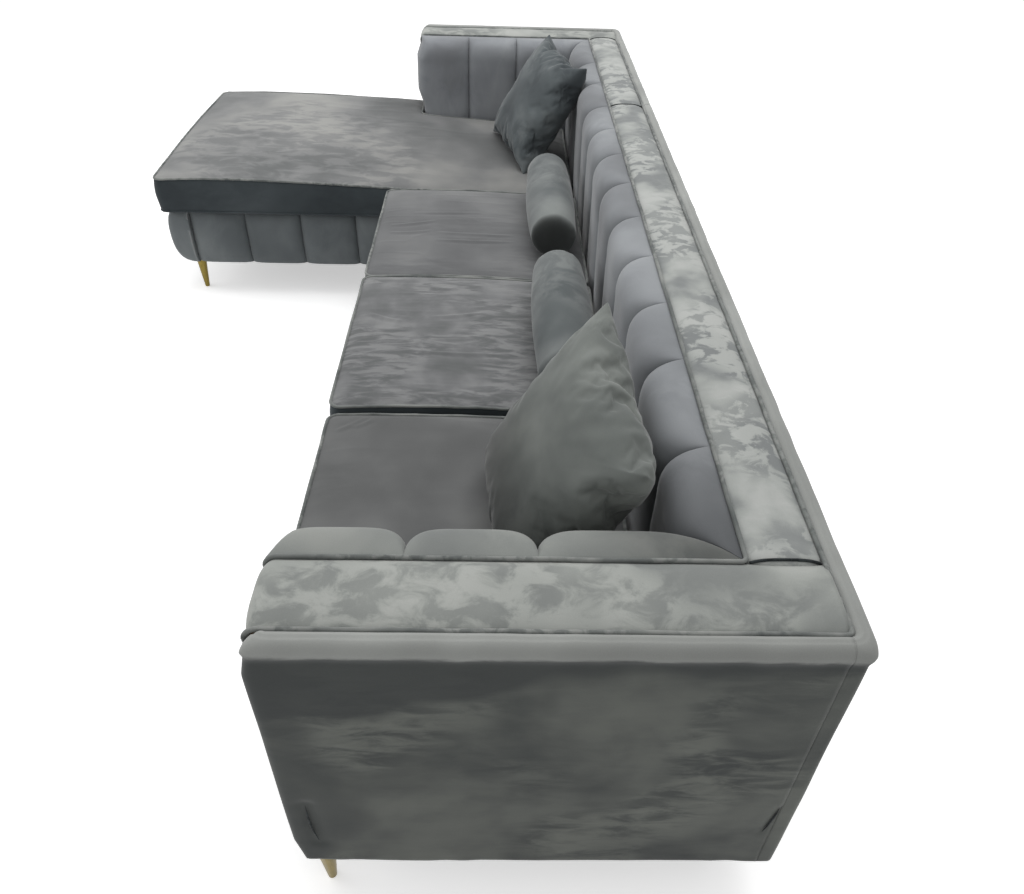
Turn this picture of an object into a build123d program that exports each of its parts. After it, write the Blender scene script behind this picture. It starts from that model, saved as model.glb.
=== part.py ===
"""L-shaped sofa: a three-seat module and a chaise module that stand side by side, with loose cushions.

Millimetres. +X runs along the length to the three-seat end, -Y is the front and +Z is up.
The origin is on the floor, below the middle of the sofa.
"""

import os
from math import sqrt

from build123d import *

os.makedirs("parts", exist_ok=True)

# Overall sizes
length = 3080.0
sofa_depth = 800.0
chaise_depth = 1660.0
arm_height = 720.0
arm_width = 150.0
back_width = 135.0
leg_height = 125.0
base_height = 200.0
chaise_width = 970.0
joint_gap = 2.0

# Boards and sheets of the frame
rail_thickness = 25.0
top_board_thickness = 18.0
panel_thickness = 6.0
block_size = 80.0
block_height = 50.0
sofa_bays = 3
back_post_count = 4
arm_post_count = 3
dust_cover_thickness = 2.0
webbing_thickness = 3.0
webbing_width = 60.0
webbing_pitch = 95.0
webbing_margin = 40.0
deck_thickness = 5.0

# Fixed upholstery
cover_thickness = 4.0
corner_radius = 8.0
rim_radius = 16.0
rim_width = 18.0
seam_gap = 1.0
cap_thickness = 16.0
cap_crown = 6.0
piping_radius = 4.0
piping_bend = 6.0
piping_lift = 0.4
channel_depth = 85.0
channel_groove = 24.0
channel_end_radius = 22.0
back_channels = 9
corner_channels = 2
corner_channel_width = 253.0
chaise_back_channels_count = 3
chaise_back_pitch = 245.0
arm_channels_count = 3
arm_channel_pitch = 188.0
mitre_gap = 0.3
front_pad_depth = 65.0
base_pad_depth = 50.0
base_groove = 16.0
base_end_radius = 20.0
front_pad_channels = 10
chaise_front_channels_count = 5
chaise_side_channels_count = 4
base_pad_gap = 3.0

# Loose cushions
cloth = 1.6
fill_gap = 0.3
rest_gap = 0.3
seat_count = 3
seat_gap = 3.0
seat_front_overhang = 4.0
seat_heights = (116.0, 130.0, 126.0)
chaise_seat_height = 128.0
seat_corner_radius = 24.0
seat_draw_in = 7.0
seat_crown_radius = 4400.0
chaise_crown_radius = 9000.0
chaise_overhang = 10.0
chaise_left_inset = 38.0
crown_peak_share = 0.33
bolster_length = 515.0
bolster_radius = 73.0
bolster_end_radius = 64.0
bolster_round = 28.0
bolster_back_gap = 34.0
near_bolster_inset = 8.0
far_bolster_inset = 12.0
pillow_draw_in_share = 0.085
pillow_front_half = 66.0
pillow_back_half = 84.0
pillow_rest_gap = 0.5
near_pillow_size = 420.0
near_pillow_arm_gap = 215.0
near_pillow_back_gap = 155.0
near_pillow_edge = (0.991, 0.084, -0.105)
near_pillow_facing = (0.125, -0.861, 0.494)
far_pillow_size = 405.0
far_pillow_arm_gap = 344.0
far_pillow_back_gap = 129.0
far_pillow_edge = (0.962, 0.269, -0.036)
far_pillow_facing = (0.249, -0.821, 0.514)

# Feet and fastenings
foot_plate = 52.0
foot_plate_thickness = 4.0
front_foot_inset = 26.0
rear_foot_inset = 75.0
leg_top_radius = 18.0
leg_tip_radius = 8.0
rear_foot_top_radius = 20.0
rear_foot_tip_radius = 15.0
stud_radius = 4.0
stud_length = 24.0
screw_radius = 2.3
screw_length = 34.0
screw_head_radius = 4.4
screw_head_height = 3.0
screw_pitch = 36.0
drill_gap = 0.2
joining_plate_width = 70.0
joining_plate_depth = 40.0
joining_screw_pitch = 24.0
joining_plate_inset = 110.0

# Planes that the modules share
right_x = length / 2
left_x = -length / 2
back_y = chaise_depth / 2
front_y = -chaise_depth / 2
arm_front_y = back_y - sofa_depth
joint_x = left_x + chaise_width
sofa_joint_x = joint_x + joint_gap / 2
chaise_joint_x = joint_x - joint_gap / 2
deck_z = leg_height + base_height
edge_z = arm_height - cap_crown
frame_bottom_z = leg_height + dust_cover_thickness
frame_top_z = deck_z - deck_thickness - webbing_thickness
cap_bottom_z = edge_z - cap_thickness
post_top_z = cap_bottom_z - top_board_thickness

# Faces of the frame, inside its covers
arm_face_x = right_x - arm_width
back_face_y = back_y - back_width
frame_right_x = right_x - cover_thickness
frame_left_x = left_x + cover_thickness
frame_back_y = back_y - cover_thickness
frame_front_y = arm_front_y + cover_thickness
panel_x = arm_face_x + panel_thickness
panel_y = back_face_y + panel_thickness
chaise_frame_front_y = front_y + base_pad_depth
chaise_frame_left_x = left_x + base_pad_depth
chaise_frame_right_x = joint_x + chaise_overhang - base_pad_depth

# Where the feet stand: corner of the frame, direction to its inside, distance from the corner
front_corners = [
    (frame_right_x, frame_front_y, -1, 1, front_foot_inset),
    (sofa_joint_x, frame_front_y, 1, 1, front_foot_inset),
    (chaise_frame_right_x, chaise_frame_front_y, -1, 1, front_foot_inset),
    (chaise_frame_left_x, chaise_frame_front_y, 1, 1, front_foot_inset),
]
rear_corners = [
    (frame_right_x, frame_back_y, -1, -1, rear_foot_inset),
    (sofa_joint_x, frame_back_y, 1, -1, rear_foot_inset),
    (chaise_joint_x, frame_back_y, -1, -1, rear_foot_inset),
    (frame_left_x, frame_back_y, 1, -1, rear_foot_inset),
]
plate_bottom_z = leg_height - foot_plate_thickness


def foot_places(corners, z):
    """Centres of the feet at one height."""
    return [(x + to_x * inset, y + to_y * inset, z) for x, y, to_x, to_y, inset in corners]


foot_centres = foot_places(front_corners + rear_corners, plate_bottom_z)
joining_centres = [
    (joint_x, frame_front_y + joining_plate_inset, plate_bottom_z),
    (joint_x, frame_back_y - joining_plate_inset - rear_foot_inset, plate_bottom_z),
]
foot_screws = [
    (x + step_x * screw_pitch / 2, y + step_y * screw_pitch / 2, z)
    for x, y, z in foot_centres
    for step_x in (-1, 1)
    for step_y in (-1, 1)
]
joining_screws = [
    (x + step_x * (joint_gap + rail_thickness) / 2, y + step_y * joining_screw_pitch / 2, z)
    for x, y, z in joining_centres
    for step_x in (-1, 1)
    for step_y in (-1, 1)
]


def keep(piece, name):
    """Name a finished piece and write it."""
    piece.part.label = name
    export_step(piece.part, f"parts/{name}.step")


def board(low, high, mode=Mode.ADD):
    """A square-edged board between two corners."""
    with Locations(tuple((a + b) / 2 for a, b in zip(low, high))):
        Box(*(b - a for a, b in zip(low, high)), mode=mode)


def drill_feet():
    """Holes for the screws and leg studs, up from below the frame."""
    with Locations(*foot_screws, *joining_screws):
        Cylinder(
            screw_radius + drill_gap, screw_length + drill_gap,
            align=(Align.CENTER, Align.CENTER, Align.MIN), mode=Mode.SUBTRACT,
        )
    with Locations(*foot_centres):
        Cylinder(
            stud_radius + drill_gap, stud_length + drill_gap,
            align=(Align.CENTER, Align.CENTER, Align.MIN), mode=Mode.SUBTRACT,
        )


def spread(start, stop, count, width):
    """Low edges of evenly spread boards of one width, the outer ones flush with the ends."""
    step = (stop - start - width) / (count - 1)
    return [start + index * step for index in range(count)]


# Base frame of the three-seat module: long rails, and cross rails between them
with BuildPart() as sofa_long_rails:
    for low_y in (frame_front_y, frame_back_y - rail_thickness):
        board(
            (sofa_joint_x, low_y, frame_bottom_z),
            (frame_right_x, low_y + rail_thickness, frame_top_z),
        )
    drill_feet()
keep(sofa_long_rails, "sofa_long_rails")

sofa_cross_x = spread(sofa_joint_x, panel_x, sofa_bays + 1, rail_thickness)
sofa_cross_x.append(frame_right_x - rail_thickness)
with BuildPart() as sofa_cross_rails:
    for low_x in sofa_cross_x:
        board(
            (low_x, frame_front_y + rail_thickness, frame_bottom_z),
            (low_x + rail_thickness, frame_back_y - rail_thickness, frame_top_z),
        )
    drill_feet()
keep(sofa_cross_rails, "sofa_cross_rails")

# Base frame of the chaise: a narrow part in front of the arm, and a wide part behind its front plane
with BuildPart() as chaise_end_rails:
    board(
        (chaise_frame_left_x, chaise_frame_front_y, frame_bottom_z),
        (chaise_frame_right_x, chaise_frame_front_y + rail_thickness, frame_top_z),
    )
    board(
        (frame_left_x, frame_back_y - rail_thickness, frame_bottom_z),
        (chaise_joint_x, frame_back_y, frame_top_z),
    )
    drill_feet()
keep(chaise_end_rails, "chaise_end_rails")

with BuildPart() as chaise_side_rails:
    right_low_x = chaise_frame_right_x - rail_thickness
    for low_x, high_y in ((chaise_frame_left_x, arm_front_y), (right_low_x, frame_front_y)):
        board(
            (low_x, chaise_frame_front_y + rail_thickness, frame_bottom_z),
            (low_x + rail_thickness, high_y, frame_top_z),
        )
    for low_x in (frame_left_x, -panel_x, chaise_joint_x - rail_thickness):
        board(
            (low_x, frame_front_y + rail_thickness, frame_bottom_z),
            (low_x + rail_thickness, frame_back_y - rail_thickness, frame_top_z),
        )
    drill_feet()
keep(chaise_side_rails, "chaise_side_rails")

chaise_front_middle_y = (chaise_frame_front_y + frame_front_y) / 2
chaise_rear_middle_y = (frame_front_y + frame_back_y) / 2
with BuildPart() as chaise_cross_rails:
    board(
        (frame_left_x, frame_front_y, frame_bottom_z),
        (chaise_joint_x, frame_front_y + rail_thickness, frame_top_z),
    )
    board(
        (chaise_frame_left_x + rail_thickness, chaise_front_middle_y, frame_bottom_z),
        (chaise_frame_right_x - rail_thickness, chaise_front_middle_y + rail_thickness, frame_top_z),
    )
    board(
        (rail_thickness - panel_x, chaise_rear_middle_y, frame_bottom_z),
        (chaise_joint_x - rail_thickness, chaise_rear_middle_y + rail_thickness, frame_top_z),
    )
    drill_feet()
keep(chaise_cross_rails, "chaise_cross_rails")

with BuildPart() as corner_blocks:
    for x, y, to_x, to_y, inset in front_corners + rear_corners:
        near = (x + to_x * rail_thickness, y + to_y * rail_thickness)
        far = (near[0] + to_x * block_size, near[1] + to_y * block_size)
        board(
            (min(near[0], far[0]), min(near[1], far[1]), frame_bottom_z),
            (max(near[0], far[0]), max(near[1], far[1]), frame_bottom_z + block_height),
        )
    drill_feet()
keep(corner_blocks, "corner_blocks")

# Frames of the two backs: upright boards across the back's width, and a board on top
back_runs = {"sofa": (sofa_joint_x, frame_right_x), "chaise": (frame_left_x, chaise_joint_x)}
for module, (low_x, high_x) in back_runs.items():
    with BuildPart() as back_posts:
        for post_x in spread(low_x, high_x, back_post_count, rail_thickness):
            board(
                (post_x, panel_y, frame_top_z),
                (post_x + rail_thickness, frame_back_y, post_top_z),
            )
    keep(back_posts, f"{module}_back_posts")
    with BuildPart() as back_top_rail:
        board((low_x, panel_y, post_top_z), (high_x, frame_back_y, cap_bottom_z))
    keep(back_top_rail, f"{module}_back_top_rail")

# Frame of the arm: upright boards across its width, and a board on top
with BuildPart() as sofa_arm_posts:
    for post_y in spread(frame_front_y, panel_y, arm_post_count, rail_thickness):
        board(
            (panel_x, post_y, frame_top_z),
            (frame_right_x, post_y + rail_thickness, post_top_z),
        )
keep(sofa_arm_posts, "sofa_arm_posts")

with BuildPart() as sofa_arm_top_board:
    board((panel_x, frame_front_y, post_top_z), (frame_right_x, panel_y, cap_bottom_z))
keep(sofa_arm_top_board, "sofa_arm_top_board")

with BuildPart() as chaise_arm_posts:
    mirror(sofa_arm_posts.part, about=Plane.YZ)
keep(chaise_arm_posts, "chaise_arm_posts")

with BuildPart() as chaise_arm_top_board:
    mirror(sofa_arm_top_board.part, about=Plane.YZ)
keep(chaise_arm_top_board, "chaise_arm_top_board")

# Plywood panels that back the channelled pads, one in the back and one in the arm of each module
with BuildPart() as sofa_panels:
    board((sofa_joint_x, back_face_y, frame_top_z), (arm_face_x, panel_y, cap_bottom_z))
    board((arm_face_x, frame_front_y, frame_top_z), (panel_x, back_face_y, cap_bottom_z))
keep(sofa_panels, "sofa_panels")

with BuildPart() as chaise_panels:
    board((-arm_face_x, back_face_y, frame_top_z), (chaise_joint_x, panel_y, cap_bottom_z))
    board((-panel_x, frame_front_y, frame_top_z), (-arm_face_x, back_face_y, cap_bottom_z))
keep(chaise_panels, "chaise_panels")

# Webbing straps across the seats, the decking cloth on them, and the dust cover below
webbing_z = frame_top_z
deck_bottom_z = frame_top_z + webbing_thickness


def straps(low_x, high_x, low_y, high_y):
    """Straps along X, one pitch apart."""
    count = int((high_y - low_y - 2 * webbing_margin) / webbing_pitch) + 1
    for index in range(count):
        strap_y = low_y + webbing_margin + index * webbing_pitch
        board((low_x, strap_y, webbing_z), (high_x, strap_y + webbing_width, deck_bottom_z))


with BuildPart() as sofa_webbing:
    straps(sofa_joint_x, arm_face_x, frame_front_y, back_face_y - webbing_width)
keep(sofa_webbing, "sofa_webbing")

with BuildPart() as chaise_webbing:
    straps(chaise_frame_left_x, chaise_frame_right_x, chaise_frame_front_y, frame_front_y - webbing_width)
    straps(-arm_face_x, chaise_joint_x, frame_front_y, back_face_y - webbing_width)
keep(chaise_webbing, "chaise_webbing")

with BuildPart() as sofa_seat_deck:
    board((sofa_joint_x, frame_front_y, deck_bottom_z), (arm_face_x, back_face_y, deck_z))
keep(sofa_seat_deck, "sofa_seat_deck")

with BuildPart() as chaise_seat_deck:
    board(
        (chaise_frame_left_x, chaise_frame_front_y, deck_bottom_z),
        (chaise_frame_right_x, arm_front_y, deck_z),
    )
    board((-arm_face_x, arm_front_y, deck_bottom_z), (chaise_frame_right_x, back_face_y, deck_z))
    board((chaise_frame_right_x, frame_front_y, deck_bottom_z), (chaise_joint_x, back_face_y, deck_z))
keep(chaise_seat_deck, "chaise_seat_deck")

with BuildPart() as sofa_dust_cover:
    board((sofa_joint_x, frame_front_y, leg_height), (frame_right_x, frame_back_y, frame_bottom_z))
    drill_feet()
keep(sofa_dust_cover, "sofa_dust_cover")

with BuildPart() as chaise_dust_cover:
    board(
        (chaise_frame_left_x, chaise_frame_front_y, leg_height),
        (chaise_frame_right_x, arm_front_y, frame_bottom_z),
    )
    board((-arm_face_x, arm_front_y, leg_height), (chaise_frame_right_x, frame_front_y, frame_bottom_z))
    board((frame_left_x, frame_front_y, leg_height), (chaise_joint_x, frame_back_y, frame_bottom_z))
    drill_feet()
keep(chaise_dust_cover, "chaise_dust_cover")


# Outer covers: a skin round the outside of arms and backs, with a rounded rim at its top
with BuildPart() as outer_block:
    with BuildSketch(Plane.XY.offset(leg_height)):
        with Locations((0, (arm_front_y + back_y) / 2)):
            RectangleRounded(length, sofa_depth, corner_radius)
    extrude(amount=edge_z - leg_height)
    fillet(outer_block.faces().sort_by(Axis.Z)[-1].edges(), rim_radius)

with BuildPart() as inner_block:
    board(
        (frame_left_x, frame_front_y, leg_height),
        (frame_right_x, frame_back_y, edge_z - cover_thickness),
    )
    fillet(inner_block.faces().sort_by(Axis.Z)[-1].edges(), rim_radius - cover_thickness)

with BuildPart() as outer_skin:
    add(outer_block.part)
    add(inner_block.part, mode=Mode.SUBTRACT)
    board(
        (left_x + rim_width, arm_front_y + rim_width, cap_bottom_z),
        (right_x - rim_width, back_y - rim_width, arm_height),
        mode=Mode.SUBTRACT,
    )

with BuildPart() as sofa_arm_cover:
    add(outer_skin.part)
    board(
        (arm_face_x, arm_front_y, leg_height),
        (right_x, back_y - rim_width, edge_z),
        mode=Mode.INTERSECT,
    )
keep(sofa_arm_cover, "sofa_arm_cover")

with BuildPart() as chaise_arm_cover:
    mirror(sofa_arm_cover.part, about=Plane.YZ)
keep(chaise_arm_cover, "chaise_arm_cover")

with BuildPart() as sofa_back_cover:
    add(outer_skin.part)
    board(
        (sofa_joint_x, back_y - rim_width, leg_height),
        (right_x, back_y, edge_z),
        mode=Mode.INTERSECT,
    )
keep(sofa_back_cover, "sofa_back_cover")

with BuildPart() as chaise_back_cover:
    add(outer_skin.part)
    board(
        (left_x, back_y - rim_width, leg_height),
        (chaise_joint_x, back_y, edge_z),
        mode=Mode.INTERSECT,
    )
keep(chaise_back_cover, "chaise_back_cover")


# Padded caps on top of arms and backs, each with a slight crown across its width
def cap_section(width):
    """Flat below and at the sides, one shallow arc on top."""
    with BuildLine() as outline:
        Polyline((0, cap_thickness), (0, 0), (width, 0), (width, cap_thickness))
        ThreePointArc((width, cap_thickness), (width / 2, cap_thickness + cap_crown), (0, cap_thickness))
    make_face(outline.edges())


arm_cap_width = arm_width - rim_width - 2 * seam_gap
back_cap_width = back_width - rim_width - 2 * seam_gap
cap_front_y = arm_front_y + rim_width + seam_gap
cap_back_y = back_y - rim_width - seam_gap
with BuildPart() as sofa_arm_cap:
    with BuildSketch(Plane((arm_face_x + seam_gap, cap_back_y, cap_bottom_z), (1, 0, 0), (0, -1, 0))):
        cap_section(arm_cap_width)
    extrude(amount=cap_back_y - cap_front_y)
    board(
        (arm_face_x, cap_back_y - 2 * piping_radius, edge_z),
        (right_x, back_y, arm_height),
        mode=Mode.SUBTRACT,
    )
keep(sofa_arm_cap, "sofa_arm_cap")

with BuildPart() as chaise_arm_cap:
    mirror(sofa_arm_cap.part, about=Plane.YZ)
keep(chaise_arm_cap, "chaise_arm_cap")

back_cap_runs = {"sofa": (sofa_joint_x, arm_face_x), "chaise": (-arm_face_x, chaise_joint_x)}
for module, (low_x, high_x) in back_cap_runs.items():
    with BuildPart() as back_cap:
        with BuildSketch(Plane((low_x, back_face_y + seam_gap, cap_bottom_z), (0, 1, 0), (1, 0, 0))):
            cap_section(back_cap_width)
        extrude(amount=high_x - low_x)
    keep(back_cap, f"{module}_back_cap")

# Piping on the seams beside the caps, one inner and one outer run on each module
piping_z = edge_z + piping_radius + piping_lift
inner_seam_x = arm_face_x + seam_gap / 2
inner_seam_y = back_face_y + seam_gap / 2
outer_seam_x = right_x - rim_width - seam_gap / 2
outer_seam_y = back_y - rim_width - seam_gap / 2
piping_runs = []
for seam_x, seam_y in ((inner_seam_x, inner_seam_y), (outer_seam_x, outer_seam_y)):
    for side, joint_end_x in ((1, sofa_joint_x), (-1, chaise_joint_x)):
        piping_runs.append([
            (side * seam_x, cap_front_y, piping_z),
            (side * seam_x, seam_y, piping_z),
            (joint_end_x, seam_y, piping_z),
        ])
with BuildPart() as cap_piping:
    for run in piping_runs:
        with BuildLine():
            FilletPolyline(*run, radius=piping_bend)
        with BuildSketch(Plane(run[0], (1, 0, 0), (0, 1, 0))):
            Circle(piping_radius)
        sweep()
keep(cap_piping, "cap_piping")


# Channelled pads: flat against the frame, one shallow arc to a channel and a groove between two
def channel_plan(stops, crown, groove, free_ends, end_radius):
    """Plan of a pad along its own x axis, standing out along y, with the ends that are free rounded."""
    low = crown - groove
    with BuildLine() as outline:
        Polyline((stops[0], low), (stops[0], 0), (stops[-1], 0), (stops[-1], low))
        for start, stop in zip(stops, stops[1:]):
            ThreePointArc((start, low), ((start + stop) / 2, crown), (stop, low))
    make_face(outline.edges())
    for end in free_ends:
        fillet(vertices().sort_by_distance((end, low))[0], end_radius)


def standing_pad(plane, stops, free_ends, mitres):
    """A pad on the deck that rolls over to the cap's seam by a quarter round, with mitred corners.

    Each mitre is (place along the pad, side to cut away): the cut slants away from the frame's corner.
    """
    roll_z = edge_z - channel_depth
    reach = channel_depth + channel_groove
    with BuildPart() as pad:
        with BuildSketch(plane.offset(deck_z)):
            channel_plan(stops, channel_depth, channel_groove, free_ends, channel_end_radius)
        extrude(amount=roll_z - deck_z)
        with BuildSketch(plane.offset(roll_z)):
            channel_plan(stops, channel_depth, channel_groove, free_ends, channel_end_radius)
        revolve(axis=Axis(plane.offset(roll_z).origin, plane.x_dir), revolution_arc=90)
        for corner, side in mitres:
            start = corner - side * mitre_gap
            with BuildSketch(plane.offset(deck_z)):
                Polygon(
                    (start, 0), (start - side * reach, reach), (start + side * reach, reach),
                    (start + side * reach, 0), align=None,
                )
            extrude(amount=arm_height - deck_z, mode=Mode.SUBTRACT)
    return pad


def run_stops(run, count):
    """Ends of evenly spread channels along a run."""
    return [run * index / count for index in range(count + 1)]


def pitch_stops(run, pitch, count):
    """Ends of channels of one pitch along a run, with what is left in the last one."""
    return [index * pitch for index in range(count)] + [run]


sofa_back_run = arm_face_x - sofa_joint_x
chaise_back_run = chaise_joint_x + arm_face_x
arm_run = back_face_y - arm_front_y
wide_run = corner_channels * corner_channel_width
wide_stops = pitch_stops(wide_run, corner_channel_width, corner_channels)
even_stops = run_stops(sofa_back_run - wide_run, back_channels - corner_channels)
sofa_back_stops = wide_stops[:-1] + [wide_run + stop for stop in even_stops]

sofa_back_plane = Plane((arm_face_x, back_face_y, 0), (-1, 0, 0), (0, 0, 1))
sofa_back_channels = standing_pad(sofa_back_plane, sofa_back_stops, [], [(0, -1)])
keep(sofa_back_channels, "sofa_back_channels")

chaise_back_plane = Plane((chaise_joint_x, back_face_y, 0), (-1, 0, 0), (0, 0, 1))
chaise_back_channels = standing_pad(
    chaise_back_plane, pitch_stops(chaise_back_run, chaise_back_pitch, chaise_back_channels_count),
    [], [(chaise_back_run, 1)],
)
keep(chaise_back_channels, "chaise_back_channels")

sofa_arm_plane = Plane((arm_face_x, arm_front_y, 0), (0, 1, 0), (0, 0, 1))
sofa_arm_channels = standing_pad(
    sofa_arm_plane, pitch_stops(arm_run, arm_channel_pitch, arm_channels_count), [0], [(arm_run, 1)]
)
keep(sofa_arm_channels, "sofa_arm_channels")

with BuildPart() as chaise_arm_channels:
    mirror(sofa_arm_channels.part, about=Plane.YZ)
keep(chaise_arm_channels, "chaise_arm_channels")


# Pads of the base: the same channels, on a barrel section that is widest above its middle
barrel_tuck_share = 0.45
barrel_low_out_share = 0.88
barrel_low_height_share = 0.3
barrel_wide_height_share = 0.7
barrel_high_out_share = 0.9
barrel_high_height_share = 0.92
barrel_top_share = 0.62


def base_pad(plane, stops, depth, free_ends):
    """A pad in front of a base rail, from the hem to the deck."""
    across = Plane(plane.offset(leg_height).origin, plane.y_dir, plane.x_dir)
    with BuildPart() as pad:
        with BuildSketch(plane.offset(leg_height)):
            channel_plan(stops, depth, base_groove, free_ends, base_end_radius)
        extrude(amount=base_height)
        with BuildSketch(across):
            with BuildLine():
                widest = (depth, base_height * barrel_wide_height_share)
                Polyline((depth * barrel_top_share, base_height), (0, base_height), (0, 0))
                Line((0, 0), (depth * barrel_tuck_share, 0))
                ThreePointArc(
                    (depth * barrel_tuck_share, 0),
                    (depth * barrel_low_out_share, base_height * barrel_low_height_share),
                    widest,
                )
                ThreePointArc(
                    widest,
                    (depth * barrel_high_out_share, base_height * barrel_high_height_share),
                    (depth * barrel_top_share, base_height),
                )
            make_face()
        extrude(amount=stops[-1], mode=Mode.INTERSECT)
    return pad


chaise_side_x = joint_x + chaise_overhang
sofa_front_run = arm_face_x - seam_gap - chaise_side_x - base_pad_gap
sofa_front_plane = Plane((arm_face_x - seam_gap, frame_front_y, 0), (-1, 0, 0), (0, 0, 1))
sofa_front_channels = base_pad(
    sofa_front_plane, run_stops(sofa_front_run, front_pad_channels), front_pad_depth, [0]
)
keep(sofa_front_channels, "sofa_front_channels")

chaise_front_run = chaise_side_x - left_x
chaise_front_plane = Plane((chaise_side_x, chaise_frame_front_y, 0), (-1, 0, 0), (0, 0, 1))
chaise_front_channels = base_pad(
    chaise_front_plane, run_stops(chaise_front_run, chaise_front_channels_count), base_pad_depth,
    [0, chaise_front_run],
)
keep(chaise_front_channels, "chaise_front_channels")

inner_side_run = frame_front_y - chaise_frame_front_y - seam_gap
inner_side_plane = Plane((chaise_frame_right_x, frame_front_y, 0), (0, -1, 0), (0, 0, 1))
chaise_inner_side_channels = base_pad(
    inner_side_plane, run_stops(inner_side_run, chaise_side_channels_count), base_pad_depth, []
)
keep(chaise_inner_side_channels, "chaise_inner_side_channels")

outer_side_run = arm_front_y - chaise_frame_front_y - seam_gap
outer_side_plane = Plane(
    (chaise_frame_left_x, chaise_frame_front_y + seam_gap, 0), (0, 1, 0), (0, 0, 1)
)
chaise_outer_side_channels = base_pad(
    outer_side_plane, run_stops(outer_side_run, chaise_side_channels_count), base_pad_depth, []
)
keep(chaise_outer_side_channels, "chaise_outer_side_channels")


# Box cushions: a plan with sides drawn in between its corners, and a crowned top
def box_cushion(corners, height, crown_centre, crown_radius, inset):
    """Cushion on the deck, or its filling when inset; the crown is part of a very large sphere."""
    bottom = deck_z + rest_gap
    points = [Vector(*corner) for corner in corners]
    inward = []
    for start, stop in zip(points, points[1:] + points[:1]):
        run = (stop - start).normalized()
        inward.append(Vector(-run.Y, run.X))
    moved = [point + (inward[index] + inward[index - 1]) * inset for index, point in enumerate(points)]
    with BuildPart() as piece:
        with BuildSketch(Plane.XY.offset(bottom + inset)):
            with BuildLine():
                for start, stop, side in zip(moved, moved[1:] + moved[:1], inward):
                    ThreePointArc(start, (start + stop) / 2 + side * seat_draw_in, stop)
            make_face()
            fillet(vertices(), seat_corner_radius)
        extrude(amount=height)
        with Locations((crown_centre[0], crown_centre[1], bottom + height - crown_radius)):
            Sphere(crown_radius - inset, mode=Mode.INTERSECT)
    return piece


def keep_pair(outer, filling, name, filling_name):
    """Write a cover, hollowed by the outer form less the cloth, and the filling inside it."""
    with BuildPart() as cover:
        add(outer[0].part)
        add(outer[1].part, mode=Mode.SUBTRACT)
    keep(cover, name)
    keep(filling, filling_name)


chaise_cushion_right_x = joint_x + chaise_overhang + seat_front_overhang * 2
seat_left_x = chaise_cushion_right_x + seat_gap
seat_right_x = arm_face_x - channel_depth - seat_gap
seat_width = (seat_right_x - seat_left_x - seat_gap * (seat_count - 1)) / seat_count
seat_front_y = frame_front_y - front_pad_depth - seat_front_overhang
seat_back_y = back_face_y - channel_depth - seat_gap
seat_peak_y = seat_front_y + crown_peak_share * (seat_back_y - seat_front_y)

seats = {}
for index, seat_name in enumerate(("near", "middle", "far")):
    high_x = seat_right_x - index * (seat_width + seat_gap)
    low_x = high_x - seat_width
    corners = [
        (low_x, seat_front_y), (high_x, seat_front_y), (high_x, seat_back_y), (low_x, seat_back_y),
    ]
    peak = ((low_x + high_x) / 2, seat_peak_y)
    height = seat_heights[index]
    forms = [box_cushion(corners, height, peak, seat_crown_radius, inset) for inset in (0, cloth)]
    filling = box_cushion(corners, height, peak, seat_crown_radius, cloth + fill_gap)
    keep_pair(forms, filling, f"seat_cover_{seat_name}", f"seat_foam_{seat_name}")
    seats[seat_name] = (low_x, high_x, peak, height, seat_crown_radius)

chaise_cushion_left_x = left_x + chaise_left_inset
chaise_cushion_inner_x = seat_gap + channel_depth - arm_face_x
chaise_cushion_front_y = front_y
chaise_notch_y = arm_front_y - seat_gap
chaise_corners = [
    (chaise_cushion_left_x, chaise_cushion_front_y),
    (chaise_cushion_right_x, chaise_cushion_front_y),
    (chaise_cushion_right_x, seat_back_y),
    (chaise_cushion_inner_x, seat_back_y),
    (chaise_cushion_inner_x, chaise_notch_y),
    (chaise_cushion_left_x, chaise_notch_y),
]
chaise_peak = (
    (chaise_cushion_left_x + chaise_cushion_right_x) / 2,
    chaise_cushion_front_y + crown_peak_share * (seat_back_y - chaise_cushion_front_y),
)
chaise_forms = [
    box_cushion(chaise_corners, chaise_seat_height, chaise_peak, chaise_crown_radius, inset)
    for inset in (0, cloth)
]
chaise_filling = box_cushion(
    chaise_corners, chaise_seat_height, chaise_peak, chaise_crown_radius, cloth + fill_gap
)
keep_pair(chaise_forms, chaise_filling, "chaise_cushion_cover", "chaise_cushion_foam")
chaise_seat = (
    chaise_cushion_left_x, chaise_cushion_right_x, chaise_peak, chaise_seat_height, chaise_crown_radius,
)


# Bolsters: soft rolls that lie along the back, each on its own seat cushion
def bolster_form(centre, inset):
    """A barrel along X, fullest at its middle, with rounded ends."""
    half = bolster_length / 2 - inset
    full = bolster_radius - inset
    end = bolster_end_radius - inset
    flat = end - bolster_round
    corner = bolster_round * (1 - sqrt(1 / 2))
    with BuildPart() as roll:
        with BuildSketch(Plane(centre, (1, 0, 0), (0, -1, 0))):
            with BuildLine():
                Polyline((half, 0), (half, flat))
                ThreePointArc((half, flat), (half - corner, end - corner), (half - bolster_round, end))
                ThreePointArc((half - bolster_round, end), (0, full), (bolster_round - half, end))
                ThreePointArc((bolster_round - half, end), (corner - half, end - corner), (-half, flat))
                Polyline((-half, flat), (-half, 0), (half, 0))
            make_face()
        revolve(axis=Axis(centre, (1, 0, 0)))
    return roll


def crown_height(seat, x, y, above):
    """Height at which a point keeps one distance above a seat's crown."""
    low_x, high_x, peak, height, crown_radius = seat
    crown_bottom = deck_z + rest_gap + height - crown_radius
    reach = crown_radius + above
    return crown_bottom + sqrt(reach**2 - (x - peak[0]) ** 2 - (y - peak[1]) ** 2)


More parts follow.
